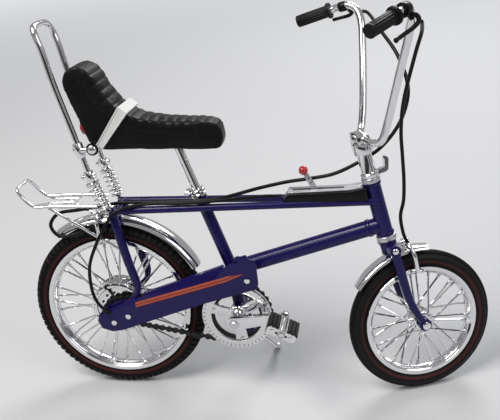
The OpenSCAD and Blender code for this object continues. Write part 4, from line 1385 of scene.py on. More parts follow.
        # Painted shade: dark discs on the outer end plate stand in for its holes.
        holes = Shape()
        for x in (-1.15, 1.15):
            holes += rod((x, outer - side * 0.1, 0), (x, outer + side * 0.02, 0), 0.3, 16)
        show(f"{name}_holes", holes, body, Finishes.DARK_STEEL_AND_SHADE, station)
        blocks = Shape()
        for x in (-3.5, 1.0):
            core = [(x + 0.18, -0.85), (x + 2.32, -0.85), (x + 2.32, 0.85), (x + 0.18, 0.85)]
            low, high = sorted((side * 9.95, side * 15.65))
            blocks += slab(core, low, high)
            for k in range(3):
                a = x + 0.86 * k
                rib = [(a, -0.9), (a + 0.12, -1.1), (a + 0.66, -1.1), (a + 0.78, -0.9), (a + 0.78, 0.9),
                       (a + 0.66, 1.1), (a + 0.12, 1.1), (a, 0.9)]
                blocks += slab(rib, low, high)
        show(f"{name}_rubber", blocks, body, Finishes.RUBBER, station, 30.0, replaces=(f"{name}_blocks",))


# Routes given in the bicycle's millimetres, right side negative y.
HOOP_HALF: tuple[Point, ...] = (
    (-1.2, 4.9, 56.4), (-3.9, 4.9, 67.7), (-6.3, 4.8, 77.6), (-7.5, 4.8, 84.0),
    (-8.4, 4.7, 87.2), (-9.1, 3.7, 89.0), (-9.3, 1.5, 89.4), (-9.3, 0.0, 89.4),
)
BAR_HALF: tuple[Point, ...] = (
    (59.3, 0, 61.3), (59.5, 2.4, 61.2), (60.4, 5, 61), (61.7, 6.8, 61.9), (62.7, 8, 66), (63.8, 10.2, 73),
    (64.8, 12.7, 80), (65.3, 14.3, 84.5), (65, 15.8, 87.2), (63.5, 17.6, 88.6), (61.4, 19.6, 88.2),
    (60.4, 20.4, 87.8), (56.9, 22.7, 86.7), (53.9, 24.7, 85.7),
)
RACK_HALF: tuple[Point, ...] = (
    (-0.6, 4, 48.3), (-4, 4, 48.4), (-12, 4, 48.4), (-16.4, 4, 48.5), (-19.4, 3.8, 51.7), (-19.9, 2.6, 52.7),
    (-19.9, 0, 52.75),
)
GEAR_CABLE: tuple[Point, ...] = (
    (41.5, -1.1, 48.9), (40.2, -1.1, 48.9), (37, -1.5, 49.0), (30, -2.9, 48.95), (24, -3.5, 48.7), (18, -3.5, 48.5),
    (10, -3.6, 48.4), (4, -5.6, 47.5), (1.2, -6.2, 44.2), (-1.6, -6.1, 39.8), (-4.2, -5.8, 34), (-4.6, -5.7, 28),
    (-3.6, -5.9, 24.6), (-1.6, -6.14, 22.2),
)
FRONT_CABLE: tuple[Point, ...] = (
    (66.15, -18.0, 85.95), (66.9, -16.5, 85.3), (68.2, -13, 83.4), (68, -10, 79), (66.9, -6.2, 69.6),
    (66.9, -4.2, 63), (67.6, -2.8, 57), (68.1, -2, 51.5), (68.1, -1.5, 46.7), (67.4, -1.2, 43), (67.9, -1.3, 39.0),
    (68.8, -1.6, 36.6),
)
REAR_CABLE_TOP: tuple[Point, ...] = ((66.2, 17.7, 86.9), (67.6, 15.9, 86.5))
REAR_CABLE: tuple[Point, ...] = (
    (64.3, 12.8, 81.6), (67.3, 8.4, 77.6), (69.3, 5.5, 72.4), (69.3, 4.6, 68), (67.3, 4.4, 62.6), (63.2, 4.2, 57.6),
    (58, 3.2, 54.6), (53, 2.4, 52.6), (47.8, 2.6, 51.6), (42.4, 2.6, 50.9), (36, 1.6, 49.9), (30, -1.2, 49.2),
    (26.5, -2.4, 48.9), (20, -2.45, 48.6), (12, -2.1, 48.4), (4, -1.7, 48.2), (-1, -1.9, 47.5), (-6, -2.6, 47),
    (-10.8, -3.1, 46.4), (-13, -3.6, 43.9), (-12, -3.65, 41.4), (-9.6, -3.6, 40.8), (-5.6, -3.4, 41.8),
    (-3.4, -3.45, 42.7), (-2.25, -3.5, 43.3),
)


def brake_arms(
    route: Sequence[Point], pad: tuple[Point, Point], pad_radius: float, bolt: tuple[Point, Point]
) -> Shape:
    """Makes a brake's two arms with their pads, and its middle bolt.

    Args:
        route: Middle of the left arm.
        pad: Ends of the left pad.
        pad_radius: Its radius.
        bolt: Ends of the bolt.

    Returns:
        Arms, pads and bolt.
    """
    arm = tube(smooth_route(route, 8), 0.55, 14) + rod(*pad, pad_radius, 12, edge=0.08)
    return arm.both_sides() + rod(*bolt, 0.55, 20, edge=0.1)


def mudguard_shell(
    axle: Point, radius: float, outer: Sequence[Flat], inner: Sequence[Flat], steps: int, arc: tuple[float, float]
) -> Shape:
    """Makes a mudguard around a wheel.

    Args:
        axle: The wheel's axle.
        radius: The tyre's radius.
        outer: Height over the tyre and side place of the right half of its outer skin, edge to middle.
        inner: The same of its whole inner skin, left edge to right.
        steps: Steps along it.
        arc: First and last angle in degrees, from forward to up.

    Returns:
        The shell.
    """
    section = [*outer, *((r, -h) for r, h in reversed(outer[:-1])), *inner]
    profile = [(radius + r, h) for r, h in section]
    return turned(profile, axle, (0, -1, 0), steps, closed=True, arc=arc)


def both_ways(half: Sequence[Point]) -> list[Point]:
    """Gives the whole route whose left half ends at the middle plane."""
    return [(x, -y, z) for x, y, z in half[:-1]] + list(reversed(half))


SEAT_TUBE_TOP = Vector((22.1, 0, 50.2))
SEAT_TUBE_FOOT = Vector((28.6, 0, 30.4))


class TubeFrame:
    """Painted frame: tubes, lugs, stays and the parts bolted straight onto it."""

    def build(self) -> None:
        """Makes the frame's pieces."""
        for node in ("main_frame", "top_rails", "rear_stays", "stand_bracket"):
            reskin(node, Finishes.INDIGO, sharp_deg=44.0)
        self._lugs()
        reskin("headset", Finishes.SATIN, bevel_mm=0.14)
        reskin("guard_bolts", Finishes.CHROME, bevel_mm=0.1)
        reskin("rear_axle_pin", Finishes.CHROME, bevel_mm=0.08)
        self._seat_clamp()
        reskin("seat_post", Finishes.CHROME)
        self._plate_bolts()

    def _lugs(self) -> None:
        """Makes the collars where the tubes meet the head tube, and its end rings."""
        up = POSE.head_direction()
        parts = Shape()
        for low, high, radius in ((-1.08, -0.35, 2.02), (11.05, 11.78, 2.02)):
            profile = [(1.7, 0.0), (radius - 0.1, 0.0), (radius, 0.12), (radius, high - low - 0.12),
                       (radius - 0.1, high - low), (1.7, high - low)]
            parts += turned(profile, along_head(low), up, 48, closed=True)
        down = (Vector((28.6, 0, 30.5)) - Vector((62.9, 0, 41.1))).normalized()
        collar = [(1.8, 0.0), (2.0, 0.1), (2.06, 0.3), (2.0, 0.9), (1.8, 1.1)]
        parts += turned(collar, Vector((62.9, 0, 41.1)) + down * 1.9, down, 48, closed=True)
        foot = (SEAT_TUBE_TOP - SEAT_TUBE_FOOT).normalized()
        ring = [(1.3, 0.0), (1.6, 0.08), (1.6, 0.6), (1.3, 0.7)]
        parts += turned(ring, SEAT_TUBE_FOOT + foot * 18.6, foot, 40, closed=True)
        show("frame_lugs", parts, Body.FRAME, Finishes.INDIGO, sharp_deg=40.0)

    def _seat_clamp(self) -> None:
        """Makes the clamp at the top of the seat tube, with its lug and bolt."""
        up = (SEAT_TUBE_TOP - SEAT_TUBE_FOOT).normalized()
        profile = [(1.1, 0.0), (1.75, 0.0), (1.88, 0.14), (1.88, 0.55), (1.74, 0.7), (1.74, 1.0), (1.88, 1.15),
                   (1.86, 1.5), (1.72, 1.65), (1.1, 1.68)]
        ring = turned(profile, SEAT_TUBE_TOP - up * 1.2, up, 48, closed=True)
        lug = slab([(19.4, 49.5), (20.7, 49.2), (20.9, 50.4), (19.6, 50.6)], -0.75, 0.75)
        bolt = rod((19.95, -1.5, 49.95), (19.95, 1.5, 49.95), 0.42, 20, edge=0.08)
        bolt += hex_head((19.95, -1.2, 49.95), (0, -1, 0), 1.25, 0.4)
        show("seat_clamp_ring", ring + lug + bolt, Body.FRAME, Finishes.CHROME, sharp_deg=34.0,
             replaces=("seat_clamp",))

    def _plate_bolts(self) -> None:
        """Makes the domed bolts on the rear plates."""
        parts = Shape()
        for x, z in ((-2.4, 19.6), (3.9, 22.2)):
            parts += dome((x, 4.78, z), (0, 1, 0), 0.55, 0.35)
        show("plate_bolts", parts, Body.FRAME, Finishes.CHROME)


class ChainGuard:
    """Striped guard plate, and its raised tab and post."""

    def build(self) -> None:
        """Makes the guard."""
        reskin("chainguard", Finishes.STRIPED, sharp_deg=30.0, bevel_mm=0.09)
        tab = slab([(27.9, 33.0), (33.0, 34.6), (32.9, 35.0), (27.8, 33.4)], -5.72, -4.5)
        post = slab([(30.2, 33.4), (31.9, 34.0), (31.7, 35.5), (31.2, 35.9), (30.3, 35.6), (30.0, 35.1)], -5.0, -4.6)
        show("guard_tabs", tab + post, Body.FRAME, Finishes.INDIGO, sharp_deg=30.0)


class SeatUnit:
    """Pleated banana seat, its strap, and what holds it up at the back."""

    SCALE = 10.0
    VOXEL = 0.005
    SWELL_CAP = 0.0022
    PLEAT_PITCH = 2.02
    FIRST_PLEAT = 3.1
    PAD_REACH = 2.75
    SEAM = 0.22
    TOP_LINE: tuple[Flat, ...] = (
        (30.0, 62.6), (29.6, 65.0), (28.6, 66.3), (27.0, 66.7), (21.7, 67.2), (15.3, 67.9), (11.6, 68.6), (9.0, 69.7),
        (7.2, 71.0), (5.6, 72.7), (3.6, 75.6), (1.9, 78.6), (0.6, 80.1),
    )

    def build(self) -> None:
        """Makes the cushion, strap, hoop, clamps, springs and reflector."""
        self._cushion()
        self._strap()
        self._hoop()
        self._springs()
        self._brackets()
        self._bracket_bolts()
        self._reflector()

    def _cushion(self) -> None:
        """Makes the stuffed cushion from the seat's own solid, blown up a little and then pleated."""
        obj = copy_of("seat", "seat_cushion")
        middle = UPRIGHT @ Vector((12.0, 0.0, 67.0))
        inset = UPRIGHT @ Matrix.Translation((12.0, 0.0, 67.0)) @ Matrix.Diagonal((0.985, 0.95, 0.975, 1.0))
        inset = inset @ Matrix.Translation((-12.0, 0.0, -67.0)) @ UPRIGHT.inverted()
        grow = Matrix.Scale(self.SCALE, 4) @ Matrix.Translation(-middle)
        obj.data.transform(grow @ inset)
        polish(obj, 180.0, merge=2e-6)
        remesh = obj.modifiers.new("Remesh", "REMESH")
        remesh.mode = "VOXEL"
        remesh.voxel_size = self.VOXEL
        bake(obj)
        before = [v.co.copy() for v in obj.data.vertices]
        self._blow_up(obj)
        for vertex, start in zip(obj.data.vertices, before):
            move = vertex.co - start
            if move.length > self.SWELL_CAP:
                vertex.co = start + move * (self.SWELL_CAP / move.length)
        obj.data.transform(grow.inverted())
        level = obj.modifiers.new("Subdivision", "SUBSURF")
        level.levels = level.render_levels = 1
        bake(obj)
        self._pleat(obj)
        polish(obj, 180.0)
        back = UPRIGHT.inverted()
        keep_local(obj, [back @ vertex.co for vertex in obj.data.vertices])
        obj.data.materials.clear()
        obj.data.materials.append(Finishes.VINYL.material())
        declare(obj, Body.FRAME.value, ("seat",))

    def _blow_up(self, obj: bpy.types.Object) -> None:
        """Runs a short cloth simulation with air inside."""
        cloth = obj.modifiers.new("Cloth", "CLOTH")
        settings = cloth.settings
        settings.quality = 4
        settings.use_pressure = True
        settings.uniform_pressure_force = 4.0
        settings.tension_stiffness = 25.0
        settings.compression_stiffness = 25.0
        settings.shear_stiffness = 10.0
        settings.bending_stiffness = 3.0
        settings.effector_weights.gravity = 0.0
        scene = bpy.context.scene
        cloth.point_cache.frame_start = 1
        cloth.point_cache.frame_end = 20
        for number in range(1, 21):
            scene.frame_set(number)
        bake(obj)
        scene.frame_set(1)

    def _pleat(self, obj: bpy.types.Object) -> None:
        """Moves the skin along its normals: soft transverse pads over the top, and a seam below them."""
        back = UPRIGHT.inverted()
        line = [Vector((x, z)) for x, z in self.TOP_LINE]
        starts = [0.0]
        for a, b in zip(line, line[1:]):
            starts.append(starts[-1] + (b - a).length)
        normals = [v.normal.copy() for v in obj.data.vertices]
        for vertex, normal in zip(obj.data.vertices, normals):
            local = back @ vertex.co
            here = Vector((local.x, local.z))
            best, along = 1e9, 0.0
            for i in range(len(line) - 1):
                a, b = line[i], line[i + 1]
                span = b - a
                share = max(0.0, min(1.0, (here - a).dot(span) / span.dot(span)))
                distance = (here - a - span * share).length
                if distance < best:
                    best, along = distance, starts[i] + span.length * share
            wave = abs(math.sin(math.pi * (along - self.FIRST_PLEAT) / self.PLEAT_PITCH))
            inside = 3.6 < along < starts[-1] - 0.3
            limit = self.PAD_REACH + 0.3 * wave
            lift = 0.0
            if inside and best < limit:
                fall = min(1.0, (limit - best) / 0.5)
                lift = (0.17 * wave**0.6 - 0.09) * fall
            if abs(best - limit) < self.SEAM and along > 1.2:
                lift -= 0.13 * (1.0 - abs(best - limit) / self.SEAM)
            if abs(along - 3.2) < 0.25 and best < 5.0:
                lift += 0.12 * (1.0 - abs(along - 3.2) / 0.25)
            vertex.co = vertex.co + normal * (lift * MM)

    def _strap(self) -> None:
        """Makes the pale strap with its raised borders."""
        outline = [(0.75, 62.0), (2.35, 61.65), (9.3, 69.75), (9.25, 70.0), (7.65, 71.3), (7.3, 71.25)]
        band = slab(outline, -4.62, 4.62)
        borders = Shape()
        for side in (-1, 1):
            y = side * 4.6
            for a, b in (((0.85, 62.1), (7.45, 71.15)), ((2.4, 61.85), (9.15, 69.85))):
                borders += rod((a[0], y, a[1]), (b[0], y, b[1]), 0.16, 10, edge=0.05)
        for x, z in ((7.45, 71.15), (9.15, 69.85)):
            borders += rod((x, -4.6, z), (x, 4.6, z), 0.16, 10, edge=0.05)
        show("strap_band", band + borders, Body.FRAME, Finishes.STRAP, sharp_deg=30.0, replaces=("seat_strap",))

    def _hoop(self) -> None:
        """Makes the bent hoop behind the seat."""
        path = smooth_route(both_ways(HOOP_HALF), 8)
        show("hoop", tube(path, 0.72, 24), Body.FRAME, Finishes.CHROME, replaces=("sissy_bar",))

    def _springs(self) -> None:
        """Makes the two coil springs between their cups."""
        parts = Shape()
        for side in (-1, 1):
            bottom, top = Vector((1.35, side * 4.62, 48.0)), Vector((-0.75, side * 4.9, 54.5))
            axis = (top - bottom).normalized()
            u = axis.cross(Vector((0, 1, 0))).normalized()
            v = axis.cross(u)
            length = (top - bottom).length - 0.6
            steps = 150
            coil = []
            for i in range(steps + 1):
                a = 2 * math.pi * 5.4 * i / steps
                coil.append(bottom + axis * (0.3 + length * i / steps) + (u * math.cos(a) + v * math.sin(a)) * 1.34)
            parts += tube(coil, 0.27, 10)
            parts += rod(bottom, top, 0.5, 16)
            cup = [(0.0, 0.0), (1.45, 0.0), (1.6, 0.12), (1.6, 0.36), (1.5, 0.45), (0.0, 0.45)]
            parts += turned(cup, bottom, axis, 40)
            parts += turned(cup, top - axis * 0.45, axis, 40)
            parts += rod(bottom + Vector((-0.1, 0, 0.2)), (2.3, side * 3.9, 46.9), 0.55, 16)
        show("spring_coils", parts, Body.FRAME, Finishes.CHROME, replaces=("springs",))

    def _brackets(self) -> None:
        """Makes the collars that clamp the hoop to the seat and to the springs."""
        side = Shape()
        for start, stop, radius, sides, edge in (
            ((-2.15, 4.9, 60.4), (-2.95, 4.9, 63.7), 1.12, 32, 0.16),
            ((-2.6, 5.4, 62.0), (0.9, 5.42, 62.5), 0.58, 20, 0.1),
            ((-3.9, 4.9, 62.2), (-3.0, 4.9, 62.3), 0.62, 20, 0.1),
            ((0.9, 4.3, 62.5), (0.9, 6.1, 62.5), 1.2, 32, 0.12),
            ((-0.78, 4.9, 54.6), (-1.38, 4.9, 57.1), 1.08, 32, 0.16),
            ((-2.9, 4.9, 55.6), (0.5, 4.9, 56.4), 0.55, 20, 0.1),
        ):
            side += rod(start, stop, radius, sides, edge)
        show("hoop_collars", side.both_sides(), Body.FRAME, Finishes.CHROME, replaces=("sissy_brackets",))

    def _bracket_bolts(self) -> None:
        """Makes the domed bolts and black washers of the hoop's clamps."""
        bolts, washers = Shape(), Shape()
        for side in (-1, 1):
            washers += rod((0.9, side * 6.0, 62.5), (0.9, side * 6.3, 62.5), 1.42, 32, edge=0.08)
            bolts += dome((0.9, side * 6.28, 62.5), (0, side, 0), 1.05, 0.7)
            bolts += dome((-3.4, side * 5.45, 62.2), (0, side, 0), 0.45, 0.35)
            bolts += dome((-2.5, side * 5.35, 55.7), (0, side, 0), 0.5, 0.4)
        show("hoop_bolts", bolts, Body.FRAME, Finishes.CHROME)
        show("hoop_washers", washers, Body.FRAME, Finishes.PLASTIC)

    def _reflector(self) -> None:
        """Makes the red reflector behind the seat."""
        back = (Vector((-4.3, 0, 65.1)) - Vector((-1.5, 0, 66.05))).normalized()
        profile = [(0.0, 0.0), (1.4, 0.0), (1.4, 0.9), (1.32, 1.15), (1.1, 1.32), (0.8, 1.4), (0.0, 1.45)]
        lens = turned(profile, (-1.85, 0, 65.93), back, 40)
        show("reflector_lens", lens, Body.FRAME, Finishes.RED, replaces=("reflector",))


class RearCarrier:
    """Wire rack, rear mudguard and rear brake."""

    def build(self) -> None:
        """Makes the carrier's pieces."""
        wire = tube(smooth_route(both_ways(RACK_HALF), 8), 0.42, 16)
        for x in (-12.9, -7.0):
            wire += rod((x, -3.9, 48.4), (x, 3.9, 48.4), 0.34, 14)
        side = rod((-13, 4.05, 48.3), (3.4, 4.75, 37.8), 0.34, 14)
        side += rod((-16.6, 3.9, 48.45), (-12.95, 1.4, 48.4), 0.28, 12)
        side += rod((-12.9, 1.4, 48.4), (-7, 1.4, 48.4), 0.28, 12)
        show("rack_wires", wire + side.both_sides(), Body.FRAME, Finishes.CHROME, replaces=("rack",))
        outer = ((0.7, -2.75), (1.12, -2.68), (1.5, -2.5), (1.85, -2.0), (2.1, -1.4), (2.25, -0.7), (2.3, 0))
        inner = ((0.6, 2.5), (1.3, 2.2), (1.8, 1.2), (2.0, 0), (1.8, -1.2), (1.3, -2.2), (0.6, -2.5))
        shell = mudguard_shell(REAR_AXLE, REAR_AXLE[2], outer, inner, 72, (27.0, 123.0))
        shell += rod((3.1, 0, 44.5), (3.1, 0, 46.9), 0.4, 16)
        show("rear_guard_shell", shell, Body.FRAME, Finishes.CHROME, replaces=("rear_mudguard",))
        route = ((-1.5, 0.3, 45.9), (-1.6, 2.4, 45.6), (-1.7, 3.5, 43.4), (-1.5, 3.25, 39.2))
        parts = brake_arms(route, ((-2.7, 2.8, 39.3), (0.5, 2.8, 39.3)), 0.48, ((2.9, 0, 47.0), (-2.4, 0, 45.5)))
        parts += dome((-2.3, 0, 45.55), (-0.96, 0, -0.27), 0.85, 0.5)
        show("rear_brake_arms", parts, Body.FRAME, Finishes.CHROME, replaces=("rear_caliper",))


class GearConsole:
    """Console on the top rails with its deck plate and gear lever."""

    def build(self) -> None:
        """Makes the console's pieces."""
        reskin("gear_console", Finishes.PLASTIC, bevel_mm=0.22)
        reskin("gear_plate", Finishes.BRUSHED, bevel_mm=0.06)
        reskin("gear_lever", Finishes.SATIN, bevel_mm=0.08)
        knob = [(1.05 * math.sin(math.pi * k / 16), -1.05 * math.cos(math.pi * k / 16)) for k in range(17)]
        knob[0] = (0.0, -1.05)
        knob[-1] = (0.0, 1.05)
        show("knob_ball", turned(knob, (46.5, 0, 54.4), (0, 0, 1), 32), Body.FRAME, Finishes.RED,
             replaces=("lever_knob",))
        # Painted shade: two dark discs and a thin dark strip stand in for holes and the lever's slot.
        holes = Shape()
        for x, z in ((48.1, 51.6), (47.6, 52.6)):
            holes += rod((x, -0.37, z), (x, 0.37, z), 0.2, 12)
        slot = slab([(43.9, 49.93), (55.4, 50.27), (55.4, 50.31), (43.9, 49.97)], -0.45, 0.45)
        show("lever_slot", holes + slot, Body.FRAME, Finishes.DARK_STEEL_AND_SHADE)


class Fork:
    """Fork, its crown bolt, axle nuts, stem and front brake."""

    def build(self) -> None:
        """Makes the fork's pieces."""
        reskin("fork", Finishes.INDIGO, STEERED, sharp_deg=44.0)
        reskin("front_axle_pin", Finishes.CHROME, STEERED, bevel_mm=0.08)
        self._stem()
        route = ((68.7, 0.3, 36.2), (68.9, 2.2, 36.0), (69.6, 3.3, 34), (70.4, 3.05, 29.9))
        parts = brake_arms(route, ((68.9, 2.6, 30.2), (71.9, 2.6, 29.8)), 0.5, ((65.6, 0, 35.65), (69.4, 0, 36.5)))
        parts += dome((69.3, 0, 36.5), (0.976, 0, 0.218), 0.8, 0.5)
        crown = along_head(-4.2)
        for side in (-1, 1):
            parts += dome((crown.x, side * 4.2, crown.z), (0, side, 0), 0.72, 0.42)
        show("front_brake_arms", parts, Body.STEERING, Finishes.CHROME, STEERED, replaces=("front_caliper",))
        self._mudguard()

    def _stem(self) -> None:
        """Makes the stem's sleeves, its clamp and bolts, and the hook bracket below."""
        up = POSE.head_direction()
        profile = [(0.0, 0.0), (1.95, 0.0), (2.0, 0.1), (2.0, 0.75), (1.75, 0.95), (1.66, 1.2), (1.62, 5.3),
                   (1.7, 5.4), (2.12, 5.5), (2.2, 5.65), (2.2, 7.9), (2.05, 8.15), (1.2, 8.4), (0.0, 8.45)]
        column = turned(profile, along_head(13.0), up, 56)
        clamp = rod((59.3, -1.95, 61.3), (59.3, 1.95, 61.3), 1.5, 36, edge=0.2)
        bolt = rod((57.6, 0, 60.5), (57.5, 0, 62.4), 0.62, 20, edge=0.1)
        bolt += hex_head((57.5, 0, 62.3), (-0.05, 0, 1), 1.3, 0.5)
        hook = slab([(61.4, 52.75), (64.6, 53.45), (65.15, 53.95), (65.2, 56.3), (64.95, 56.75), (64.5, 56.75),
                     (64.3, 56.3), (64.3, 54.4), (61.3, 53.6)], -0.7, 0.7)
        show("stem_column", column + clamp + bolt + hook, Body.STEERING, Finishes.CHROME, STEERED, sharp_deg=34.0,
             replaces=("stem",))

    def _mudguard(self) -> None:
        """Makes the front mudguard, which is chromed and has a middle ridge."""
        outer = ((0.5, -2.0), (0.85, -1.93), (1.1, -1.75), (1.3, -1.4), (1.4, -1.0), (1.42, -0.35), (1.5, 0))
        inner = ((0.4, 1.85), (0.9, 1.55), (1.15, 0.9), (1.25, 0), (1.15, -0.9), (0.9, -1.55), (0.4, -1.85))
        shell = mudguard_shell(FRONT_AXLE, FRONT_AXLE[2], outer, inner, 64, (84.0, 146.0))
        angle = math.radians(110)
        tie = Vector((math.cos(angle), 0, math.sin(angle)))
        axle = Vector(FRONT_AXLE)
        shell += rod(axle + tie * 18.2, axle + tie * 19.5, 0.5, 16)
        show("front_guard_shell", shell, Body.STEERING, Finishes.CHROME, STEERED, replaces=("front_mudguard",))


class Cockpit:
    """High-rise handlebar, grips and brake levers."""

    def build(self) -> None:
        """Makes the cockpit's pieces."""
        path = smooth_route(both_ways(tuple(reversed(BAR_HALF))), 6)
        show("high_bar", tube(path, 0.85, 24), Body.STEERING, Finishes.CHROME, STEERED, replaces=("handlebar",))
        self._grips()
        route = ((63.9, 18.5, 87.5), (65.2, 18.2, 87.1), (65.3, 18.8, 86.1), (63.5, 20.1, 85.0), (61.0, 21.5, 84.0),
                 (59.2, 22.7, 83.3))
        blade = tube(smooth_route(route, 8), lambda t: 0.52 - 0.12 * t + (0.12 if t > 0.96 else 0.0), 14)
        route = ((63.7, 18.5, 87.6), (64.5, 18.5, 86.9), (64.0, 19.3, 86.2), (62.4, 20.3, 85.8), (60.8, 21.4, 85.4))
        close = tube(smooth_route(route, 8), lambda t: 0.48 - 0.1 * t, 14)
        clamp = rod((63.4, -17.7, 88.5), (61.9, -19.1, 88.3), 1.48, 32, edge=0.16)
        clamp += rod((63.0, 18.1, 88.5), (61.8, 19.2, 88.2), 1.15, 32, edge=0.16)
        screw = rod((63.6, 18.2, 87.4), (64.4, 17.9, 86.6), 0.5, 12, edge=0.08)
        bodies = close + blade.mirrored_y() + clamp + screw.mirrored_y()
        show("lever_bodies", bodies, Body.STEERING, Finishes.PLASTIC, STEERED, replaces=("brake_levers",))

    def _grips(self) -> None:
        """Makes the ribbed grips with collars and end discs."""
        inner, outer = Vector(BAR_HALF[11]), Vector(BAR_HALF[13])
        way = (outer - inner).normalized()
        start = inner + way * 0.4
        length = (outer - inner).length + 0.3
        profile = [(0.0, 0.0), (1.75, 0.0), (1.85, 0.12), (1.85, 0.55), (1.7, 0.72), (1.28, 0.85),
                   (1.26, length - 0.7), (1.38, length - 0.5), (1.4, length - 0.15), (1.3, length), (0.0, length)]
        body = turned(profile, start, way, 48)
        side = way.orthogonal().normalized()
        other = way.cross(side)
        ribs = Shape()
        for k in range(16):
            a = 2 * math.pi * k / 16
            offset = (side * math.cos(a) + other * math.sin(a)) * 1.24
            ribs += rod(start + way * 0.9 + offset, start + way * (length - 0.65) + offset, 0.15, 8, edge=0.05)
        show("grip_bodies", (body + ribs).both_sides(), Body.STEERING, Finishes.RUBBER, STEERED,
             replaces=("grips",))


class Cables:
    """Gear cable and both brake cables."""

    def build(self) -> None:
        """Makes the cables; the rear brake's bends with the steering."""
        gear = tube(smooth_route(GEAR_CABLE, 8), 0.4, 12)
        gear += rod((-1.2, -6.14, 21.7), (-1.75, -6.1, 22.5), 0.55, 14, edge=0.08)
        show("gear_cable_sheath", gear, Body.FRAME, Finishes.CABLE, replaces=("gear_cable",))
        front = tube(smooth_route(FRONT_CABLE, 8), 0.4, 12)
        show("front_brake_sheath", front, Body.STEERING, Finishes.CABLE, STEERED, replaces=("front_brake_cable",))
        turn = UPRIGHT.inverted() @ STEERED
        top = [tuple(turn @ Vector(p)) for p in REAR_CABLE_TOP]
        route = smooth_route(top + list(REAR_CABLE), 8)
        rear = show("rear_brake_sheath", tube(route, 0.42, 12), Body.FRAME, Finishes.CABLE,
                    replaces=("rear_brake_cable",), ride=False)
        start, stop = UPRIGHT @ Vector((58, 3.2, 54.6)), UPRIGHT @ Vector(top[0])
        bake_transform(rear, Body.FRAME.value, Body.STEERING.value, start, stop)


class SideStand:
    """Chromed side stand with its pivot bolt."""

    def build(self) -> None:
        """Makes the stand."""
        reskin("side_stand", Finishes.CHROME, sharp_deg=44.0)


# Studio.
class Ground:
    """Plain pale floor, which fades into the pale surroundings away from the model."""

    HALF = 2.5
    SOLID = 0.16
    GONE = 0.75

    def build(self) -> None:
        """Makes the floor and the sky."""
        half = self.HALF
        floor = new_object("floor", [(-half, -half, 0), (half, -half, 0), (half, half, 0), (-half, half, 0)],
                           [(0, 1, 2, 3)])
        finish = bpy.data.materials.new("PaleFloor")
        finish.use_nodes = True
        sheet = NodeSheet(finish.node_tree)
        skin = next(n for n in finish.node_tree.nodes if n.type == "BSDF_PRINCIPLED")
        grain = sheet.add("ShaderNodeGroup", node_tree=SharedGroups.grain())
        grain.inputs["Mottle Scale"].default_value = 6.0
        sheet.link(sheet.mix(grain.outputs["Mottle"], (0.53, 0.53, 0.535), (0.56, 0.56, 0.565)),
                   skin.inputs["Base Color"])
        skin.inputs["Roughness"].default_value = 0.75
        place = sheet.add("ShaderNodeTexCoord")
        reach = sheet.add("ShaderNodeVectorMath", operation="LENGTH")
        sheet.link(place.outputs["Object"], reach.inputs[0])
        fade = sheet.add("ShaderNodeMapRange", interpolation_type="SMOOTHSTEP", i_1=self.SOLID, i_2=self.GONE,
                         i_3=1.0, i_4=0.0)
        sheet.link(reach.outputs["Value"], fade.inputs[0])
        sheet.link(fade.outputs[0], skin.inputs["Alpha"])
        floor.data.materials.append(finish)
        world = bpy.data.worlds.new("Studio")
        bpy.context.scene.world = world
        world.use_nodes = True
        tree = NodeSheet(world.node_tree)
        world.node_tree.nodes.clear()
        out = tree.add("ShaderNodeOutputWorld")
        seen = tree.add("ShaderNodeBackground", i_0=(0.86, 0.87, 0.89, 1.0), i_1=1.0)
        lit = tree.add("ShaderNodeBackground", i_0=(0.62, 0.65, 0.70, 1.0), i_1=0.46)
        room = tree.add("ShaderNodeBackground", i_0=(0.60, 0.59, 0.60, 1.0), i_1=0.62)
        mirrored = tree.add("ShaderNodeMixShader")
        pick = tree.add("ShaderNodeMixShader")
        ray = tree.add("ShaderNodeLightPath")
        tree.link(ray.outputs["Is Glossy Ray"], mirrored.inputs[0])
        tree.link(lit.outputs[0], mirrored.inputs[1])
        tree.link(room.outputs[0], mirrored.inputs[2])
        tree.link(ray.outputs["Is Camera Ray"], pick.inputs[0])
        tree.link(mirrored.outputs[0], pick.inputs[1])
        tree.link(seen.outputs[0], pick.inputs[2])
        tree.link(pick.outputs[0], out.inputs[0])


@dataclass(frozen=True)
class Lamp:
    """One soft area lamp.

    Attributes:
        name: Lamp name.
        place: Where it hangs, in metres.
        power: Its power in watts.
        size: Its edge in metres.
        colour: Its colour.
    """

    name: str
    place: Point
    power: float
    size: float
    colour: Point = (1.0, 1.0, 1.0)


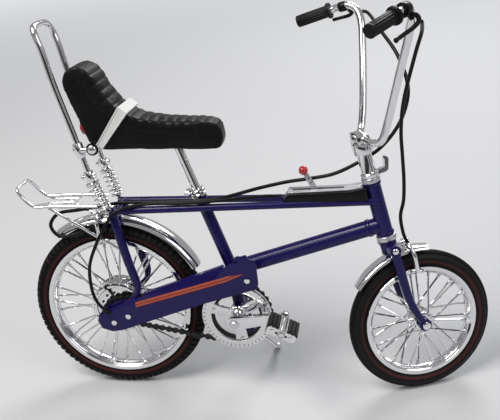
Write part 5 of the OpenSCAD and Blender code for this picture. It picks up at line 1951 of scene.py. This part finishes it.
class StudioLight:
    """Soft lamps around the model, and dark cards for the chrome to mirror."""

    LAMPS = (
        Lamp("KeyLamp", (-0.18, -0.16, 0.42), 1.75, 0.22, (1.0, 0.98, 0.95)),
        Lamp("FillLamp", (0.34, -0.20, 0.30), 0.5, 0.22, (0.93, 0.96, 1.0)),
        Lamp("BackLamp", (0.10, 0.36, 0.34), 1.3, 0.24),
    )
    CARDS = (
        ((0.0, -0.62, 0.05), (0.55, 0.10)),
        ((-0.5, 0.1, 0.08), (0.12, 0.16)),
        ((0.0, 0.09, 0.50), (0.55, 0.045)),
        ((0.0, -0.46, 0.40), (0.55, 0.04)),
        ((0.52, -0.25, 0.12), (0.06, 0.2)),
    )

    def build(self) -> None:
        """Makes the lamps, turned to the model, and the cards."""
        goal = Vector((0.0, 0.0, 0.035))
        for lamp in self.LAMPS:
            light = bpy.data.lights.new(lamp.name, "AREA")
            light.energy = lamp.power
            light.size = lamp.size
            light.color = lamp.colour
            obj = bpy.data.objects.new(lamp.name, light)
            obj.location = lamp.place
            obj.rotation_euler = (goal - Vector(lamp.place)).to_track_quat("-Z", "Y").to_euler()
            bpy.context.scene.collection.objects.link(obj)
        dark = bpy.data.materials.new("DarkCard")
        dark.use_nodes = True
        skin = next(n for n in dark.node_tree.nodes if n.type == "BSDF_PRINCIPLED")
        skin.inputs["Base Color"].default_value = (0.02, 0.02, 0.022, 1.0)
        for number, (place, (half_x, half_z)) in enumerate(self.CARDS):
            facing = (goal - Vector(place)).to_track_quat("Z", "Y").to_matrix().to_4x4()
            corners = [(-half_x, -half_z, 0), (half_x, -half_z, 0), (half_x, half_z, 0), (-half_x, half_z, 0)]
            corners = [Matrix.Translation(place) @ facing @ Vector(c) for c in corners]
            card = new_object(f"card_{number}", corners, [(0, 1, 2, 3)])
            card.data.materials.append(dark)
            card.visible_camera = False


@dataclass(frozen=True)
class PhotoCamera:
    """The photo's camera, fitted to the wheels, hoop, rack and handlebar.

    Attributes:
        place: Camera place in the upright bicycle's millimetres.
        yaw_deg: Turn towards forward.
        pitch_deg: Tilt downwards.
        roll_deg: Roll.
        lens: Focal length on a sensor 36 mm wide.
    """

    place: Point = (64.3, -167.8, 109.6)
    yaw_deg: float = -10.28
    pitch_deg: float = 20.68
    roll_deg: float = -4.68
    lens: float = 57.6

    def build(self) -> None:
        """Makes the camera and the picture's settings."""
        yaw, pitch, roll = (math.radians(a) for a in (self.yaw_deg, self.pitch_deg, self.roll_deg))
        ahead = Vector((math.sin(yaw) * math.cos(pitch), math.cos(yaw) * math.cos(pitch), -math.sin(pitch)))
        right = Vector((math.cos(yaw), -math.sin(yaw), 0.0))
        up = right.cross(ahead)
        across = right * math.cos(roll) + up * math.sin(roll)
        above = up * math.cos(roll) - right * math.sin(roll)
        turn = UPRIGHT.to_3x3().normalized()
        columns = [turn @ across, turn @ above, turn @ -ahead]
        basis = Matrix([[c[i] for c in columns] for i in range(3)]).to_4x4()
        data = bpy.data.cameras.new("PhotoCamera")
        data.lens = self.lens
        data.sensor_width = 36.0
        data.clip_start = 0.005
        data.clip_end = 10.0
        obj = bpy.data.objects.new("PhotoCamera", data)
        obj.matrix_world = Matrix.Translation(UPRIGHT @ Vector(self.place)) @ basis
        scene = bpy.context.scene
        scene.collection.objects.link(obj)
        scene.camera = obj
        scene.render.engine = "CYCLES"
        scene.view_settings.view_transform = "Standard"


def main() -> None:
    """Builds every sub-assembly in order, then the studio."""
    logging.basicConfig(level=logging.INFO, format="%(message)s")
    rear = Wheel(
        WheelSizes("rear", REAR_AXLE, 21.4, 2.2, 17.8, 1.55, 6.6, 2.6, 2.1, 18, 3.0),
        Body.REAR_WHEEL, Finishes.REAR_RUBBER, UPRIGHT)
    front = Wheel(
        WheelSizes("front", FRONT_AXLE, 17.0, 1.9, 13.4, 1.35, 2.6, 1.1, 1.9, 14, 28.0),
        Body.FRONT_WHEEL, Finishes.FRONT_RUBBER, STEERED)
    rear.build()
    RearTread(rear).build()
    front.build()
    for part in (
        TubeFrame(), ChainGuard(), DriveTrain(DriveSizes()), SeatUnit(), RearCarrier(), GearConsole(), Fork(),
        Cockpit(), Cables(), SideStand(), Ground(), StudioLight(), PhotoCamera(),
    ):
        LOG.info("-- %s", type(part).__name__)
        part.build()


if __name__ == "__main__":
    main()
